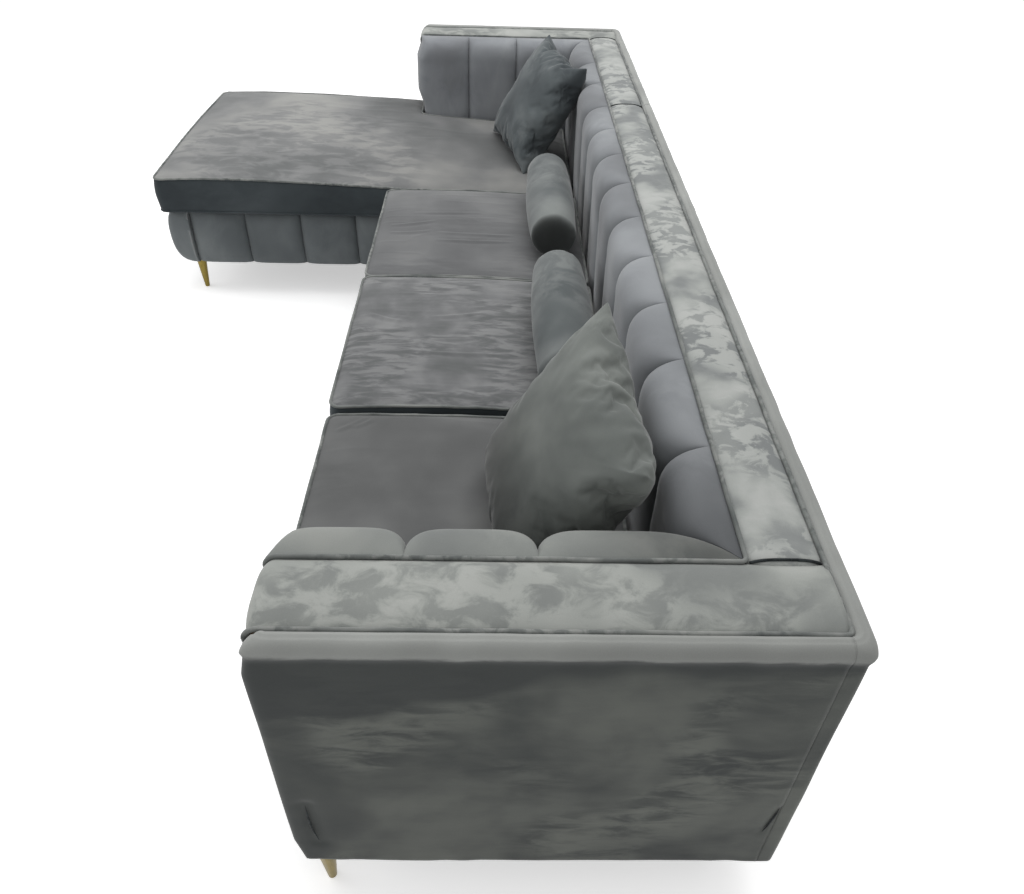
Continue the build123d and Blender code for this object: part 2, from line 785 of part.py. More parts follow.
bolster_y = back_face_y - channel_depth - bolster_back_gap - bolster_radius
near_bolster_x = seats["middle"][1] - near_bolster_inset - bolster_length / 2
far_bolster_x = seats["far"][0] + far_bolster_inset + bolster_length / 2
bolster_places = {"near": ("middle", near_bolster_x), "far": ("far", far_bolster_x)}
for bolster_name, (seat_name, centre_x) in bolster_places.items():
    centre_z = crown_height(seats[seat_name], centre_x, bolster_y, bolster_radius + rest_gap)
    centre = (centre_x, bolster_y, centre_z)
    forms = [bolster_form(centre, inset) for inset in (0, cloth)]
    filling = bolster_form(centre, cloth + fill_gap)
    keep_pair(forms, filling, f"bolster_cover_{bolster_name}", f"bolster_filling_{bolster_name}")

# Scatter cushions: two plump halves that meet in a knife edge, with pointed corners
pillow_levels_share = (0.0, 0.45, 0.8, 0.96)


def pillow_form(place, size, front_half, back_half, inset):
    """Sections parallel to the edge: its middle falls as a circle does, its corners draw in faster."""
    half_size = size / 2 - inset
    with BuildPart() as piece:
        for half in (front_half - inset, inset - back_half):
            for level in pillow_levels_share:
                side = half_size * (sqrt(1 - level**2) - pillow_draw_in_share * (1 - level))
                corner = half_size * sqrt(1 - level)
                with BuildSketch(place.offset(level * half)):
                    with BuildLine():
                        ThreePointArc((corner, -corner), (side, 0), (corner, corner))
                        ThreePointArc((corner, corner), (0, side), (-corner, corner))
                        ThreePointArc((-corner, corner), (-side, 0), (-corner, -corner))
                        ThreePointArc((-corner, -corner), (0, -side), (corner, -corner))
                    make_face()
            loft()
    return piece


# Each scatter cushion: its seat, centre, direction of its lower edge, direction that it faces, size
near_pillow_centre = (seat_right_x - near_pillow_arm_gap, seat_back_y - near_pillow_back_gap)
far_pillow_centre = (chaise_cushion_inner_x + far_pillow_arm_gap, seat_back_y - far_pillow_back_gap)
near_pillow = (seats["near"], near_pillow_centre, near_pillow_edge, near_pillow_facing, near_pillow_size)
far_pillow = (chaise_seat, far_pillow_centre, far_pillow_edge, far_pillow_facing, far_pillow_size)
for pillow_name, (seat, centre, edge, facing, size) in {"near": near_pillow, "far": far_pillow}.items():
    along = Vector(*edge).normalized()
    normal = (Vector(*facing) - along * Vector(*facing).dot(along)).normalized()
    up = normal.cross(along)
    lowest = 0
    for side in (-1, 1):
        corner = Vector(centre[0], centre[1], 0) + (along * side - up) * (size / 2)
        lowest = max(lowest, crown_height(seat, corner.X, corner.Y, pillow_rest_gap) - corner.Z)
    place = Plane((centre[0], centre[1], lowest), along, normal)
    forms = [pillow_form(place, size, pillow_front_half, pillow_back_half, inset) for inset in (0, cloth)]
    filling = pillow_form(place, size, pillow_front_half, pillow_back_half, cloth + fill_gap)
    keep_pair(forms, filling, f"pillow_cover_{pillow_name}", f"pillow_filling_{pillow_name}")


# Feet: tapered brass legs at the front, tapered plastic feet at the back, each on a screwed plate
def feet(corners, top_radius, tip_radius, name):
    """Tapered feet from the floor to their plates, each with a threaded stud on top."""
    with BuildPart() as legs:
        for centre in foot_places(corners, 0):
            with BuildSketch(Plane(centre)):
                Circle(tip_radius)
            with BuildSketch(Plane(centre).offset(plate_bottom_z)):
                Circle(top_radius)
            loft()
        with Locations(*foot_places(corners, plate_bottom_z)):
            Cylinder(stud_radius, stud_length, align=(Align.CENTER, Align.CENTER, Align.MIN))
    keep(legs, name)


feet(front_corners, leg_top_radius, leg_tip_radius, "front_legs")
feet(rear_corners, rear_foot_top_radius, rear_foot_tip_radius, "rear_feet")

with BuildPart() as leg_plates:
    with Locations(*foot_centres):
        Box(
            foot_plate, foot_plate, foot_plate_thickness,
            align=(Align.CENTER, Align.CENTER, Align.MIN),
        )
    drill_feet()
keep(leg_plates, "leg_plates")

with BuildPart() as joining_plates:
    with Locations(*joining_centres):
        Box(
            joining_plate_width, joining_plate_depth, foot_plate_thickness,
            align=(Align.CENTER, Align.CENTER, Align.MIN),
        )
    drill_feet()
keep(joining_plates, "joining_plates")

with BuildPart() as screws:
    with Locations(*foot_screws, *joining_screws):
        Cylinder(screw_radius, screw_length, align=(Align.CENTER, Align.CENTER, Align.MIN))
        Cylinder(screw_head_radius, screw_head_height, align=(Align.CENTER, Align.CENTER, Align.MAX))
keep(screws, "screws")
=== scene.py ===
"""The looks of an L-shaped velvet sofa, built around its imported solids. Metres, +Z up, front at -Y."""

from itertools import product

import bmesh
import bpy
import numpy as np
from mathutils import Matrix, Vector


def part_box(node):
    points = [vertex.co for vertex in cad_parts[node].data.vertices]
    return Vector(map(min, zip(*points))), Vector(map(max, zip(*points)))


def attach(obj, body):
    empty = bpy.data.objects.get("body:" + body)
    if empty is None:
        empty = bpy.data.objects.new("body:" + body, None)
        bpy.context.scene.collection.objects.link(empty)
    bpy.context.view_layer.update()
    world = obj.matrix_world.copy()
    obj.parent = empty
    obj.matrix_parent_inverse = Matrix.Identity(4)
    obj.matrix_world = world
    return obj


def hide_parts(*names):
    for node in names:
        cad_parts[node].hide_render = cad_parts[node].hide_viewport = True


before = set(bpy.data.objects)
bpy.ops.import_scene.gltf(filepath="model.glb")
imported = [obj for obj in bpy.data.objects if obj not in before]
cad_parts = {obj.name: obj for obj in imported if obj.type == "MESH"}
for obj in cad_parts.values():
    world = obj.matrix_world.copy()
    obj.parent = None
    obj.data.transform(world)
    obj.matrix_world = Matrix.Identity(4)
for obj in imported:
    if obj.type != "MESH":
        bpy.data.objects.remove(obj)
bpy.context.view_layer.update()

mm = 0.001

# Camera
# Held by hand above the near arm, looking down along the seats. Its place, tilt, turn and roll
# are the ones that put the sofa's corners where the photograph has them.
camera_place = np.array((2.1625, 0.3416, 1.5624))
camera_down, camera_turn, camera_roll = np.radians((39.886, -1.626, -1.905))
camera_lens, camera_sensor, camera_reach = 28.935, 36.0, 50.0
forward = np.array((
    -np.cos(camera_down) * np.cos(camera_turn), -np.cos(camera_down) * np.sin(camera_turn),
    -np.sin(camera_down),
))
level = np.cross(forward, (0, 0, 1))
level /= np.linalg.norm(level)
under = np.cross(forward, level)
image_right = np.cos(camera_roll) * level + np.sin(camera_roll) * under
image_down = np.cos(camera_roll) * under - np.sin(camera_roll) * level
turned = np.column_stack((image_right, -image_down, -forward))
camera_data = bpy.data.cameras.new("camera")
camera_data.lens = camera_lens
camera_data.sensor_width = camera_sensor
camera_data.clip_end = camera_reach
camera = bpy.data.objects.new("camera", camera_data)
camera.matrix_world = Matrix.Translation(Vector(camera_place)) @ Matrix(turned.tolist()).to_4x4()
bpy.context.scene.collection.objects.link(camera)
bpy.context.scene.camera = camera
bpy.context.scene.view_settings.view_transform = "Standard"


# Floor and light
# A plain near-white studio floor that still takes the sofa's shadow, a pale world,
# one broad soft lamp above the chaise and a weak one from the front.
def linear(hex_colour):
    """An sRGB hex colour as linear red, green, blue and alpha."""
    values = [int(hex_colour[i:i + 2], 16) / 255 for i in (1, 3, 5)]
    return [v / 12.92 if v <= 0.04045 else ((v + 0.055) / 1.055) ** 2.4 for v in values] + [1.0]


def node(tree, kind, settings=(), **links):
    """Add one shader node, set its properties, and link or set inputs, by name or as i0, i1 and so on."""
    made = tree.nodes.new(kind)
    for key, value in dict(settings).items():
        setattr(made, key, value)
    for key, value in links.items():
        socket = made.inputs[int(key[1:])] if key[0] == "i" and key[1:].isdigit() else made.inputs[key]
        if isinstance(value, bpy.types.NodeSocket):
            tree.links.new(value, socket)
        else:
            socket.default_value = value
    return made


def material(name):
    """A new material with an empty node tree and its output node."""
    made = bpy.data.materials.new(name)
    made.use_nodes = True
    made.node_tree.nodes.clear()
    return made, made.node_tree, made.node_tree.nodes.new("ShaderNodeOutputMaterial")


def seen_by_eye(tree):
    """1 for a ray from the camera or off a glossy surface, and 0 for the rays that light the sofa."""
    rays = node(tree, "ShaderNodeLightPath")
    return node(tree, "ShaderNodeMath", {"operation": "MAXIMUM"}, i0=rays.outputs["Is Camera Ray"],
                i1=rays.outputs["Is Glossy Ray"]).outputs[0]


floor_half, floor_z, floor_glow = 14.0, -0.5 * mm, 0.5
floor_mesh = bpy.data.meshes.new("studio_floor")
floor_mesh.from_pydata(
    [(x * floor_half, y * floor_half, floor_z) for x, y in ((-1, -1), (1, -1), (1, 1), (-1, 1))],
    [], [(0, 1, 2, 3)],
)
floor = bpy.data.objects.new("studio_floor", floor_mesh)
bpy.context.scene.collection.objects.link(floor)
floor_paint, tree, out = material("matt_white_floor")
paint = node(tree, "ShaderNodeBsdfDiffuse", Color=linear("#f4f4f4"))
lift = node(tree, "ShaderNodeMath", {"operation": "MULTIPLY"}, i0=seen_by_eye(tree), i1=floor_glow)
glow = node(tree, "ShaderNodeEmission", Color=linear("#ffffff"), Strength=lift.outputs[0])
both = node(tree, "ShaderNodeAddShader", i0=paint.outputs[0], i1=glow.outputs[0])
tree.links.new(both.outputs[0], out.inputs["Surface"])
floor_mesh.materials.append(floor_paint)

world_light, world_seen = 0.55, 1.0
world = bpy.data.worlds.new("studio")
bpy.context.scene.world = world
world.use_nodes = True
tree = world.node_tree
tree.nodes.clear()
strength = node(tree, "ShaderNodeMix", {"data_type": "FLOAT"}, i0=seen_by_eye(tree), i2=world_light,
                i3=world_seen)
sky = node(tree, "ShaderNodeBackground", Color=linear("#ffffff"), Strength=strength.outputs[0])
node(tree, "ShaderNodeOutputWorld", Surface=sky.outputs[0])


def lamp(name, place, aim, size, watts):
    """A square soft lamp that faces a point."""
    data = bpy.data.lights.new(name, "AREA")
    data.size, data.energy = size, watts
    made = bpy.data.objects.new(name, data)
    made.location = place
    made.rotation_euler = (Vector(aim) - Vector(place)).to_track_quat("-Z", "Y").to_euler()
    bpy.context.scene.collection.objects.link(made)


lamp("softbox_above", place=(-1.0, 0.5, 4.1), aim=(0, 0.2, 0), size=4.0, watts=112)
lamp("softbox_front", place=(-0.5, -4.2, 2.6), aim=(0, 0, 0.4), size=3.0, watts=40)

# Velvet
# Cut polyester pile on a knit back. Stroked one way it is pale, the other way dark, so it carries soft
# patches and brush marks; the pile glows a little where it is seen edge on. The real pile is finer
# than half a millimetre and is drawn coarser here, so that it shows at all.
pile_pitch, pile_contrast, pile_relief = 1.6 * mm, 0.10, 0.4 * mm
lying_relief = 1.2 * mm
patch_softness, mark_low, mark_high, mark_rest = 1.8, 0.44, 0.56, 0.12
band_slope, band_drift, band_from, band_to, band_tone = -0.13, 0.34, 0.155, 0.19, 0.1
front_drift, front_from, front_to, front_tone = 0.3, 0.20, 0.27, 0.3
rim_drift, rim_run, rim_dull, rim_bright = 0.02, 12 * mm, 0.86, 1.1
shade_drift = 0.10
rough_dark, rough_pale, velvet_specular, velvet_sheen, sheen_spread = 0.95, 0.80, 0.18, 0.28, 0.35


def velvet(name, dark, body, pale, strokes=(1, 1, 1), patch=0.30, mark=0.045, marked=0.6, edge=0.10,
           dark_band=None, rim=None, fade=None, seed=0.0):
    """Velvet in three tones: broad patches with fairly sharp edges, brush marks in some, and fine pile.

    Strokes stretches the marks along an axis, marked is how strongly they show, edge is how softly a
    mark ends. A dark band lies above one height, which rises towards the back, and down the front edge.
    A rim is a height and the colour above it: painted highlight where the cover rolls over the top.
    A fade is painted shade: an axis, the place on it where the colour is down to a share, the place
    where it is whole, and that share.
    """
    made, tree, out = material(name)
    eased = {"interpolation_type": "SMOOTHSTEP"}
    times, carried = {"operation": "MULTIPLY"}, {"operation": "MULTIPLY_ADD"}
    place = node(tree, "ShaderNodeTexCoord").outputs["Object"]
    moved = node(tree, "ShaderNodeVectorMath", {"operation": "ADD"}, i0=place,
                 i1=(seed, seed * 0.7, -seed)).outputs[0]
    broad = node(tree, "ShaderNodeTexNoise", Vector=moved, Scale=1 / patch, Detail=3.5, Roughness=0.5,
                 Distortion=0.25).outputs["Fac"]
    where = node(tree, "ShaderNodeTexNoise", Vector=moved, Scale=0.7 / patch, Detail=1.5, Roughness=0.5,
                 Distortion=0.2).outputs["Fac"]
    drawn = node(tree, "ShaderNodeVectorMath", times, i0=moved, i1=strokes)
    marks = node(tree, "ShaderNodeTexNoise", Vector=drawn.outputs[0], Scale=1 / mark, Detail=5.0,
                 Roughness=0.6, Distortion=0.5).outputs["Fac"]
    pile = node(tree, "ShaderNodeTexNoise", Vector=place, Scale=1 / pile_pitch, Detail=2.0,
                Roughness=0.7).outputs["Fac"]
    patches = node(tree, "ShaderNodeMapRange", eased, i0=broad, i1=0.5 - patch_softness * edge,
                   i2=0.5 + patch_softness * edge)
    brushed = node(tree, "ShaderNodeMapRange", eased, i0=marks, i1=0.5 - edge, i2=0.5 + edge)
    share = node(tree, "ShaderNodeMapRange", eased, i0=where, i1=mark_low, i2=mark_high,
                 i3=mark_rest * marked, i4=marked)
    tone = node(tree, "ShaderNodeMix", {"data_type": "FLOAT"}, i0=share.outputs[0], i2=patches.outputs[0],
                i3=brushed.outputs[0]).outputs[0]
    spot = node(tree, "ShaderNodeSeparateXYZ", Vector=place).outputs if dark_band or rim or fade else None
    if dark_band:
        slant = node(tree, "ShaderNodeMath", carried, i0=spot["Y"], i1=band_slope, i2=spot["Z"])
        bent = node(tree, "ShaderNodeMath", carried, i0=where, i1=band_drift, i2=slant.outputs[0])
        above = node(tree, "ShaderNodeMapRange", eased, i0=bent.outputs[0], i1=dark_band + band_from,
                     i2=dark_band + band_to, i3=1.0, i4=band_tone)
        behind = node(tree, "ShaderNodeMath", carried, i0=where, i1=front_drift, i2=spot["Y"])
        inner = node(tree, "ShaderNodeMapRange", eased, i0=behind.outputs[0], i1=front_from, i2=front_to,
                     i3=front_tone, i4=1.0)
        shade = node(tree, "ShaderNodeMath", times, i0=above.outputs[0], i1=inner.outputs[0])
        tone = node(tree, "ShaderNodeMath", times, i0=tone, i1=shade.outputs[0]).outputs[0]
    ramp = node(tree, "ShaderNodeValToRGB", Fac=tone)
    ramp.color_ramp.elements[0].color = linear(dark)
    ramp.color_ramp.elements[1].color = linear(pale)
    ramp.color_ramp.elements.new(0.5).color = linear(body)
    shown = ramp.outputs["Color"]
    # Painted highlight: above the rim height the colour turns to the paler rim colour, brighter in broad
    # patches.
    if rim:
        rim_z, rim_highlight_colour = rim
        bright = node(tree, "ShaderNodeMapRange", eased, i0=broad, i1=0.3, i2=0.7, i3=rim_dull,
                      i4=rim_bright)
        lit = node(tree, "ShaderNodeVectorMath", {"operation": "SCALE"}, i0=linear(rim_highlight_colour)[:3],
                   Scale=bright.outputs[0])
        height = node(tree, "ShaderNodeMath", carried, i0=marks, i1=rim_drift, i2=spot["Z"])
        on_rim = node(tree, "ShaderNodeMapRange", eased, i0=height.outputs[0], i1=rim_z, i2=rim_z + rim_run)
        shown = node(tree, "ShaderNodeMix", {"data_type": "RGBA"}, Factor=on_rim.outputs[0], i6=shown,
                     i7=lit.outputs[0]).outputs[2]
    # Painted shade: along one axis the colour is scaled down, to the kept share at the place given.
    if fade:
        axis, lost, whole, kept = fade
        drift = node(tree, "ShaderNodeMath", carried, i0=where, i1=shade_drift, i2=spot[axis])
        left = node(tree, "ShaderNodeMapRange", eased, i0=drift.outputs[0], i1=lost + shade_drift / 2,
                    i2=whole + shade_drift / 2, i3=kept, i4=1.0)
        shown = node(tree, "ShaderNodeVectorMath", {"operation": "SCALE"}, i0=shown,
                     Scale=left.outputs[0]).outputs[0]
    grain = node(tree, "ShaderNodeMapRange", i0=pile, i3=1 - pile_contrast, i4=1 + pile_contrast)
    colour = node(tree, "ShaderNodeVectorMath", {"operation": "SCALE"}, i0=shown, Scale=grain.outputs[0])
    lying = node(tree, "ShaderNodeBump", Height=tone, Strength=0.3, Distance=lying_relief)
    tufts = node(tree, "ShaderNodeBump", Height=pile, Strength=0.35, Distance=pile_relief,
                 Normal=lying.outputs[0])
    rough = node(tree, "ShaderNodeMapRange", eased, i0=tone, i1=0.0, i2=1.0, i3=rough_dark, i4=rough_pale)
    cloth = node(tree, "ShaderNodeBsdfPrincipled", Roughness=rough.outputs[0], Normal=tufts.outputs[0], **{
        "Base Color": colour.outputs[0], "Specular IOR Level": velvet_specular,
        "Sheen Weight": velvet_sheen, "Sheen Roughness": sheen_spread,
    })
    tree.links.new(cloth.outputs[0], out.inputs["Surface"])
    return made


# Outer covers
# One skin of velvet round the outside of each arm and back, stapled below the rails. It rolls over a
# strip of padding along the top edge, and is sewn there to the cap. Stretched, with slight puckers.
def ripple(points, size, seed):
    """Smooth noise from -1 to 1: random values on a lattice of one cell size, eased between its corners."""
    side = 48
    table = np.random.default_rng(seed).uniform(-1, 1, (side, side, side))
    cells = points / np.asarray(size, float)
    low = np.floor(cells).astype(int)
    ease = cells - low
    ease = ease * ease * (3 - 2 * ease)
    total = np.zeros(points.shape[:-1])
    for step in product((0, 1), repeat=3):
        weight = np.prod(np.where(step, ease, 1 - ease), axis=-1)
        x, y, z = np.moveaxis((low + step) % side, -1, 0)
        total += weight * table[x, y, z]
    return total


def waves(points, layers, seed):
    """Layers of smooth noise added up. Each is a height and a cell size, and takes the next seed."""
    return sum(height * ripple(points, size, seed + i) for i, (height, size) in enumerate(layers))


def grid_faces(rows, columns, round_rows=False, round_columns=False):
    """Quads of a grid of points, which may close round either way."""
    index = np.arange(rows * columns).reshape(rows, columns)
    if round_rows:
        index = np.vstack((index, index[:1]))
    if round_columns:
        index = np.hstack((index, index[:, :1]))
    quads = np.stack((index[:-1, :-1], index[1:, :-1], index[1:, 1:], index[:-1, 1:]), axis=-1)
    return quads.reshape(-1, 4)


def shell_faces(rows, columns):
    """Quads of a closed shell: a grid, a second grid behind it turned over, and the edges between them."""
    index = np.arange(rows * columns).reshape(rows, columns)
    rim = np.concatenate((index[0, :-1], index[:-1, -1], index[-1, :0:-1], index[:0:-1, 0]))
    after, count = np.roll(rim, -1), rows * columns
    faces = grid_faces(rows, columns)
    edges = np.column_stack((rim, rim + count, after + count, after))
    return np.vstack((faces, faces[:, ::-1] + count, edges))


def skin(name, verts, faces):
    """A closed piece from points and quads: doubles merged, faces turned outwards."""
    mesh = bpy.data.meshes.new(name)
    mesh.from_pydata(verts.reshape(-1, 3).tolist(), [], faces.tolist())
    shape = bmesh.new()
    shape.from_mesh(mesh)
    bmesh.ops.remove_doubles(shape, verts=shape.verts, dist=merge_distance)
    bmesh.ops.recalc_face_normals(shape, faces=shape.faces)
    shape.to_mesh(mesh)
    shape.free()
    mesh.shade_smooth()
    made = bpy.data.objects.new(name, mesh)
    bpy.context.scene.collection.objects.link(made)
    return made


def wall(name, outer, inner):
    """A closed piece between two grids of the same count: outer face, inner face and four edges."""
    return skin(name, np.stack((outer, inner)), shell_faces(*outer.shape[:2]))


def bent_path(corners, radius, step, closed=False, arc_points=9):
    """A plan route of straight runs joined by arcs: its points, and the unit normal to the left of each."""
    corners = np.asarray(corners, float)
    count = len(corners)
    blocks = []
    for i in range(count):
        here, before, after = corners[i], corners[i - 1], corners[(i + 1) % count]
        way_in = (here - before) / np.linalg.norm(here - before)
        way_out = (after - here) / np.linalg.norm(after - here)
        if not closed and i in (0, count - 1):
            way = way_out if i == 0 else way_in
            blocks.append((here[None], np.array([[-way[1], way[0]]])))
            continue
        turn = np.arctan2(way_in[0] * way_out[1] - way_in[1] * way_out[0], way_in @ way_out)
        side = np.sign(turn) * np.array((-way_in[1], way_in[0]))
        start = here - way_in * radius * np.tan(abs(turn) / 2)
        angles = np.linspace(0, abs(turn), arc_points)[:, None]
        out = np.sin(angles) * way_in - np.cos(angles) * side
        blocks.append((start + radius * (side + out), -np.sign(turn) * out))
    points, normals = [], []
    for i, (place, normal) in enumerate(blocks):
        points.append(place)
        normals.append(normal)
        if closed or i < count - 1:
            ahead = blocks[(i + 1) % count][0][0]
            gap = int(np.ceil(np.linalg.norm(corners[(i + 1) % count] - corners[i]) / step))
            share = (np.arange(1, gap) / gap)[:, None]
            points.append(place[-1] + share * (ahead - place[-1]))
            normals.append(np.repeat(normal[-1:], len(share), axis=0))
    return np.vstack(points), np.vstack(normals)


def upholster(piece, cloth, nodes, body="frame"):
    """Give a piece its cloth and its body, and hide the solids that it stands for."""
    piece.data.materials.append(cloth)
    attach(piece, body)
    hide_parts(*nodes)


# Above the rim height the outer covers take the caps' pale colour: a painted highlight where the roll over
# the top catches the light.
dark_band_z, rim_highlight_z = 0.56, 0.700
cover_cloth = velvet("velvet_outer_panels", "#454848", "#646763", "#747771", strokes=(0.6, 0.6, 2.0),
                     patch=0.22, mark=0.055, marked=0.75, edge=0.17, dark_band=dark_band_z,
                     rim=(rim_highlight_z, "#9c9e9b"), seed=3.0)
# Painted shade: near-black velvet for the small folds on the near panel and the seams across the caps,
# standing in for the shade inside them.
painted_shade_cloth = velvet("velvet_painted_shade", "#1c1f20", "#262a2b", "#34393a", patch=0.05, mark=0.01, seed=2.0)
rim_height, rim_width, cover_thickness = 34 * mm, 27 * mm, 4 * mm
rim_bulge, rim_rise, rim_blend_rows = 5 * mm, 8 * mm, 7
cover_corner_radius, rim_corner_radius = 12 * mm, 30 * mm
deepest_dent, front_rim_drop, front_power = 3.3 * mm, 0.62, 8
near_bulge, far_bulge = 11 * mm, 20 * mm
bulge_start_run, bulge_fade_drop, bulge_end_drop = 60 * mm, 70 * mm, 20 * mm
cover_step, merge_distance = 6 * mm, 0.02 * mm
hem_turn, hem_inset, hem_lift = 9 * mm, 3 * mm, 2 * mm
roll_drop, inner_drop = 12 * mm, 10 * mm
cover_waves = ((1.3 * mm, (0.22, 0.22, 0.16)), (0.7 * mm, (0.05, 0.05, 0.09)))
cover_puckers, pucker_reach = ((1.1 * mm, (0.030, 0.030, 0.10)),), 40 * mm
arm_low, arm_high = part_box("sofa_arm_cover")
back_low, back_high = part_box("sofa_back_cover")
chaise_back_low, chaise_back_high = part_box("chaise_back_cover")
right_x, left_x = arm_high.x, chaise_back_low.x
arm_face_x = arm_low.x
front_y, back_y = arm_low.y, back_high.y
hem_z, edge_z = arm_low.z, arm_high.z
side_y = back_y - rim_corner_radius
rise = np.linspace(hem_z + hem_lift, edge_z - rim_height, int((edge_z - hem_z) / cover_step))
roll = np.linspace(0, np.pi, 19)
roll_centre, roll_z = (rim_width - rim_bulge) / 2, edge_z - roll_drop
swell = np.linspace(0, 1, 6)[1:-1]
cover_inset = np.concatenate((
    [hem_turn, hem_inset], 0 * rise, -rim_bulge * swell ** 2 * (3 - 2 * swell),
    roll_centre - (roll_centre + rim_bulge) * np.cos(roll),
))
cover_rise = np.concatenate((
    [hem_z, hem_z], rise, edge_z - rim_height + swell * (roll_z - edge_z + rim_height),
    roll_z + np.where(roll < np.pi / 2, edge_z + rim_rise - roll_z, rim_rise + inner_drop) * np.sin(roll)
    + (roll > np.pi / 2) * (edge_z - inner_drop - roll_z),
))


def front_swell(height, bulge):
    """How far an arm's front stands forward at each height: level above the start, fading below the rim."""
    start, depth = bulge
    stops = (start, start + bulge_start_run, edge_z - bulge_fade_drop, edge_z - bulge_end_drop)
    return depth * np.interp(height, stops, (0, 1, 1, 0))


def cover(name, corners, nodes, seed, creases=(), bulge=None):
    """A skin round a plan route: a straight profile up from the hem, then a half ellipse for the rim.

    The cloth stands out by smooth noise: broad hollows, and short puckers near hem and rim. A crease
    is a straight dent between two points, as deep as a bell curve across it. A bulge is the height and
    depth of a front face's swell. The rim is low there, because the cap turns down over it.
    """
    sharp, inward = bent_path(corners, cover_corner_radius, cover_step)
    blunt, inward = bent_path(corners, rim_corner_radius, cover_step)
    row = np.arange(len(cover_rise)) - (len(cover_rise) - len(roll))
    rolled = np.interp(row, (0, rim_blend_rows), (0, 1))[:, None, None]
    plan = sharp + rolled * (blunt - sharp) + cover_inset[:, None, None] * inward
    on_front = inward[None, :, 1].clip(0) ** front_power
    rim_base = edge_z - rim_height
    above_base = (cover_rise - rim_base).clip(0)[:, None] * (1 - front_rim_drop * on_front)
    flat = np.dstack((plan, np.minimum(cover_rise, rim_base)[:, None] + above_base))
    from_edge = np.minimum(flat[..., 2] - hem_z, rim_base - flat[..., 2]).clip(0)
    out = waves(flat, cover_waves, seed)
    out += np.exp(-from_edge / pucker_reach) * waves(flat, cover_puckers, seed + 2)
    for start, stop, depth, width in creases:
        start, stop = np.array(start), np.array(stop)
        along = ((flat - start) @ (stop - start) / ((stop - start) @ (stop - start))).clip(0, 1)
        away = np.linalg.norm(flat - start - along[..., None] * (stop - start), axis=-1)
        out -= depth * np.exp(-(away / width) ** 2)
    out = np.maximum(out, -deepest_dent)
    fade = np.interp(row, (0, len(roll) - 1), (1, 0))[:, None]
    outward = np.dstack((-np.broadcast_to(inward, plan.shape), np.zeros(plan.shape[:2])))
    outer = flat + (out * fade)[..., None] * outward
    if bulge:
        outer[..., 1] -= front_swell(cover_rise, bulge)[:, None] * inward[None, :, 1].clip(0) ** 0.5
    lean = np.interp(row, (0, len(roll) / 2), (0, 1))[:, None, None]
    into = -outward * (1 - lean) + np.array((0, 0, -1.0)) * lean
    piece = wall(name + "_velvet", outer, outer + into * cover_thickness)
    upholster(piece, cover_cloth, nodes)


dart_half, dart_flatness, dart_power, dart_points, dart_sides = 2.2 * mm, 0.6, 0.7, 24, 10


def dart(name, start, stop, bow, nodes):
    """A small sewn fold on the near panel: a thin lens-shaped roll along a shallow sine from end to end."""
    share = np.linspace(0, 1, dart_points)[:, None]
    line = np.array(start) + share * (np.array(stop) - np.array(start))
    line[:, 1:2] += bow * np.sin(np.pi * share)
    angle = np.linspace(0, 2 * np.pi, dart_sides, endpoint=False)
    thick = (dart_half * np.sin(np.pi * share) ** dart_power)[:, :, None]
    ring = np.stack((dart_flatness * np.sin(angle), np.cos(angle), 0 * angle), axis=-1)
    piece = skin(name, line[:, None] + thick * ring, grid_faces(len(line), len(angle), False, True))
    upholster(piece, painted_shade_cloth, nodes)


slit_low, slit_high, slit_bow = (right_x, 0.786, 0.232), (right_x, 0.797, 0.312), 2 * mm
pucker_low, pucker_high, pucker_bow = (right_x, 0.066, 0.192), (right_x, 0.058, 0.312), -4 * mm
slit_dent, pucker_dent, seam_dent = (2 * mm, 6 * mm), (5 * mm, 14 * mm), (3 * mm, 5 * mm)
module_x = back_low.x
chaise_module_x = chaise_back_high.x
chaise_cushion_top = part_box("chaise_cushion_cover")[1].z
near_swell, far_swell = (hem_z, near_bulge), (chaise_cushion_top, far_bulge)
cover("sofa_arm_cover", ((arm_face_x, front_y), (right_x, front_y), (right_x, side_y)),
      ("sofa_arm_cover",), 11,
      ((slit_low, slit_high, *slit_dent), (pucker_low, pucker_high, *pucker_dent)), near_swell)
cover("sofa_back_cover", ((right_x, side_y), (right_x, back_y), (module_x, back_y)),
      ("sofa_back_cover",), 21,
      (((module_x, back_y, hem_z), (module_x, back_y, edge_z), *seam_dent),))
cover("chaise_back_cover", ((chaise_module_x, back_y), (left_x, back_y), (left_x, side_y)),
      ("chaise_back_cover",), 31,
      (((chaise_module_x, back_y, hem_z), (chaise_module_x, back_y, edge_z), *seam_dent),))
# The two folds are drawn in near-black velvet as painted shade.
dart("panel_slit", slit_low, slit_high, slit_bow, ("sofa_arm_cover",))
dart("panel_pucker", pucker_low, pucker_high, pucker_bow, ("sofa_arm_cover",))
cover("chaise_arm_cover", ((left_x, side_y), (left_x, front_y), (-arm_face_x, front_y)),
      ("chaise_arm_cover",), 41, bulge=far_swell)

# Caps
# The flat padded top of each arm and back: one long piece of velvet over thin foam, sewn into the
# seams beside it. An arm's cap runs the whole depth and turns down over the front edge.
cap_cloth = velvet("velvet_back_caps", "#7e8181", "#9da09d", "#aeb0ad", strokes=(1.8, 1.2, 1), patch=0.17,
                   mark=0.055, marked=0.75, edge=0.055, seed=9.0)
arm_cap_cloth = velvet("velvet_arm_caps", "#7f8280", "#989b97", "#a8aaa6", strokes=(1.4, 1, 1), patch=0.18,
                       mark=0.06, marked=0.7, edge=0.09, seed=41.0)
cap_crown, cap_sink, cap_power = 9 * mm, 2.5 * mm, 3.2
cap_step, cap_rows, cap_margin = 7 * mm, 110, 12 * mm
cap_front_radius = 19 * mm
cap_front_y = front_y - 1.5 * mm
cap_thickness, cap_edge_share, cap_samples, cap_middle_power = 14 * mm, 0.25, 27, 6
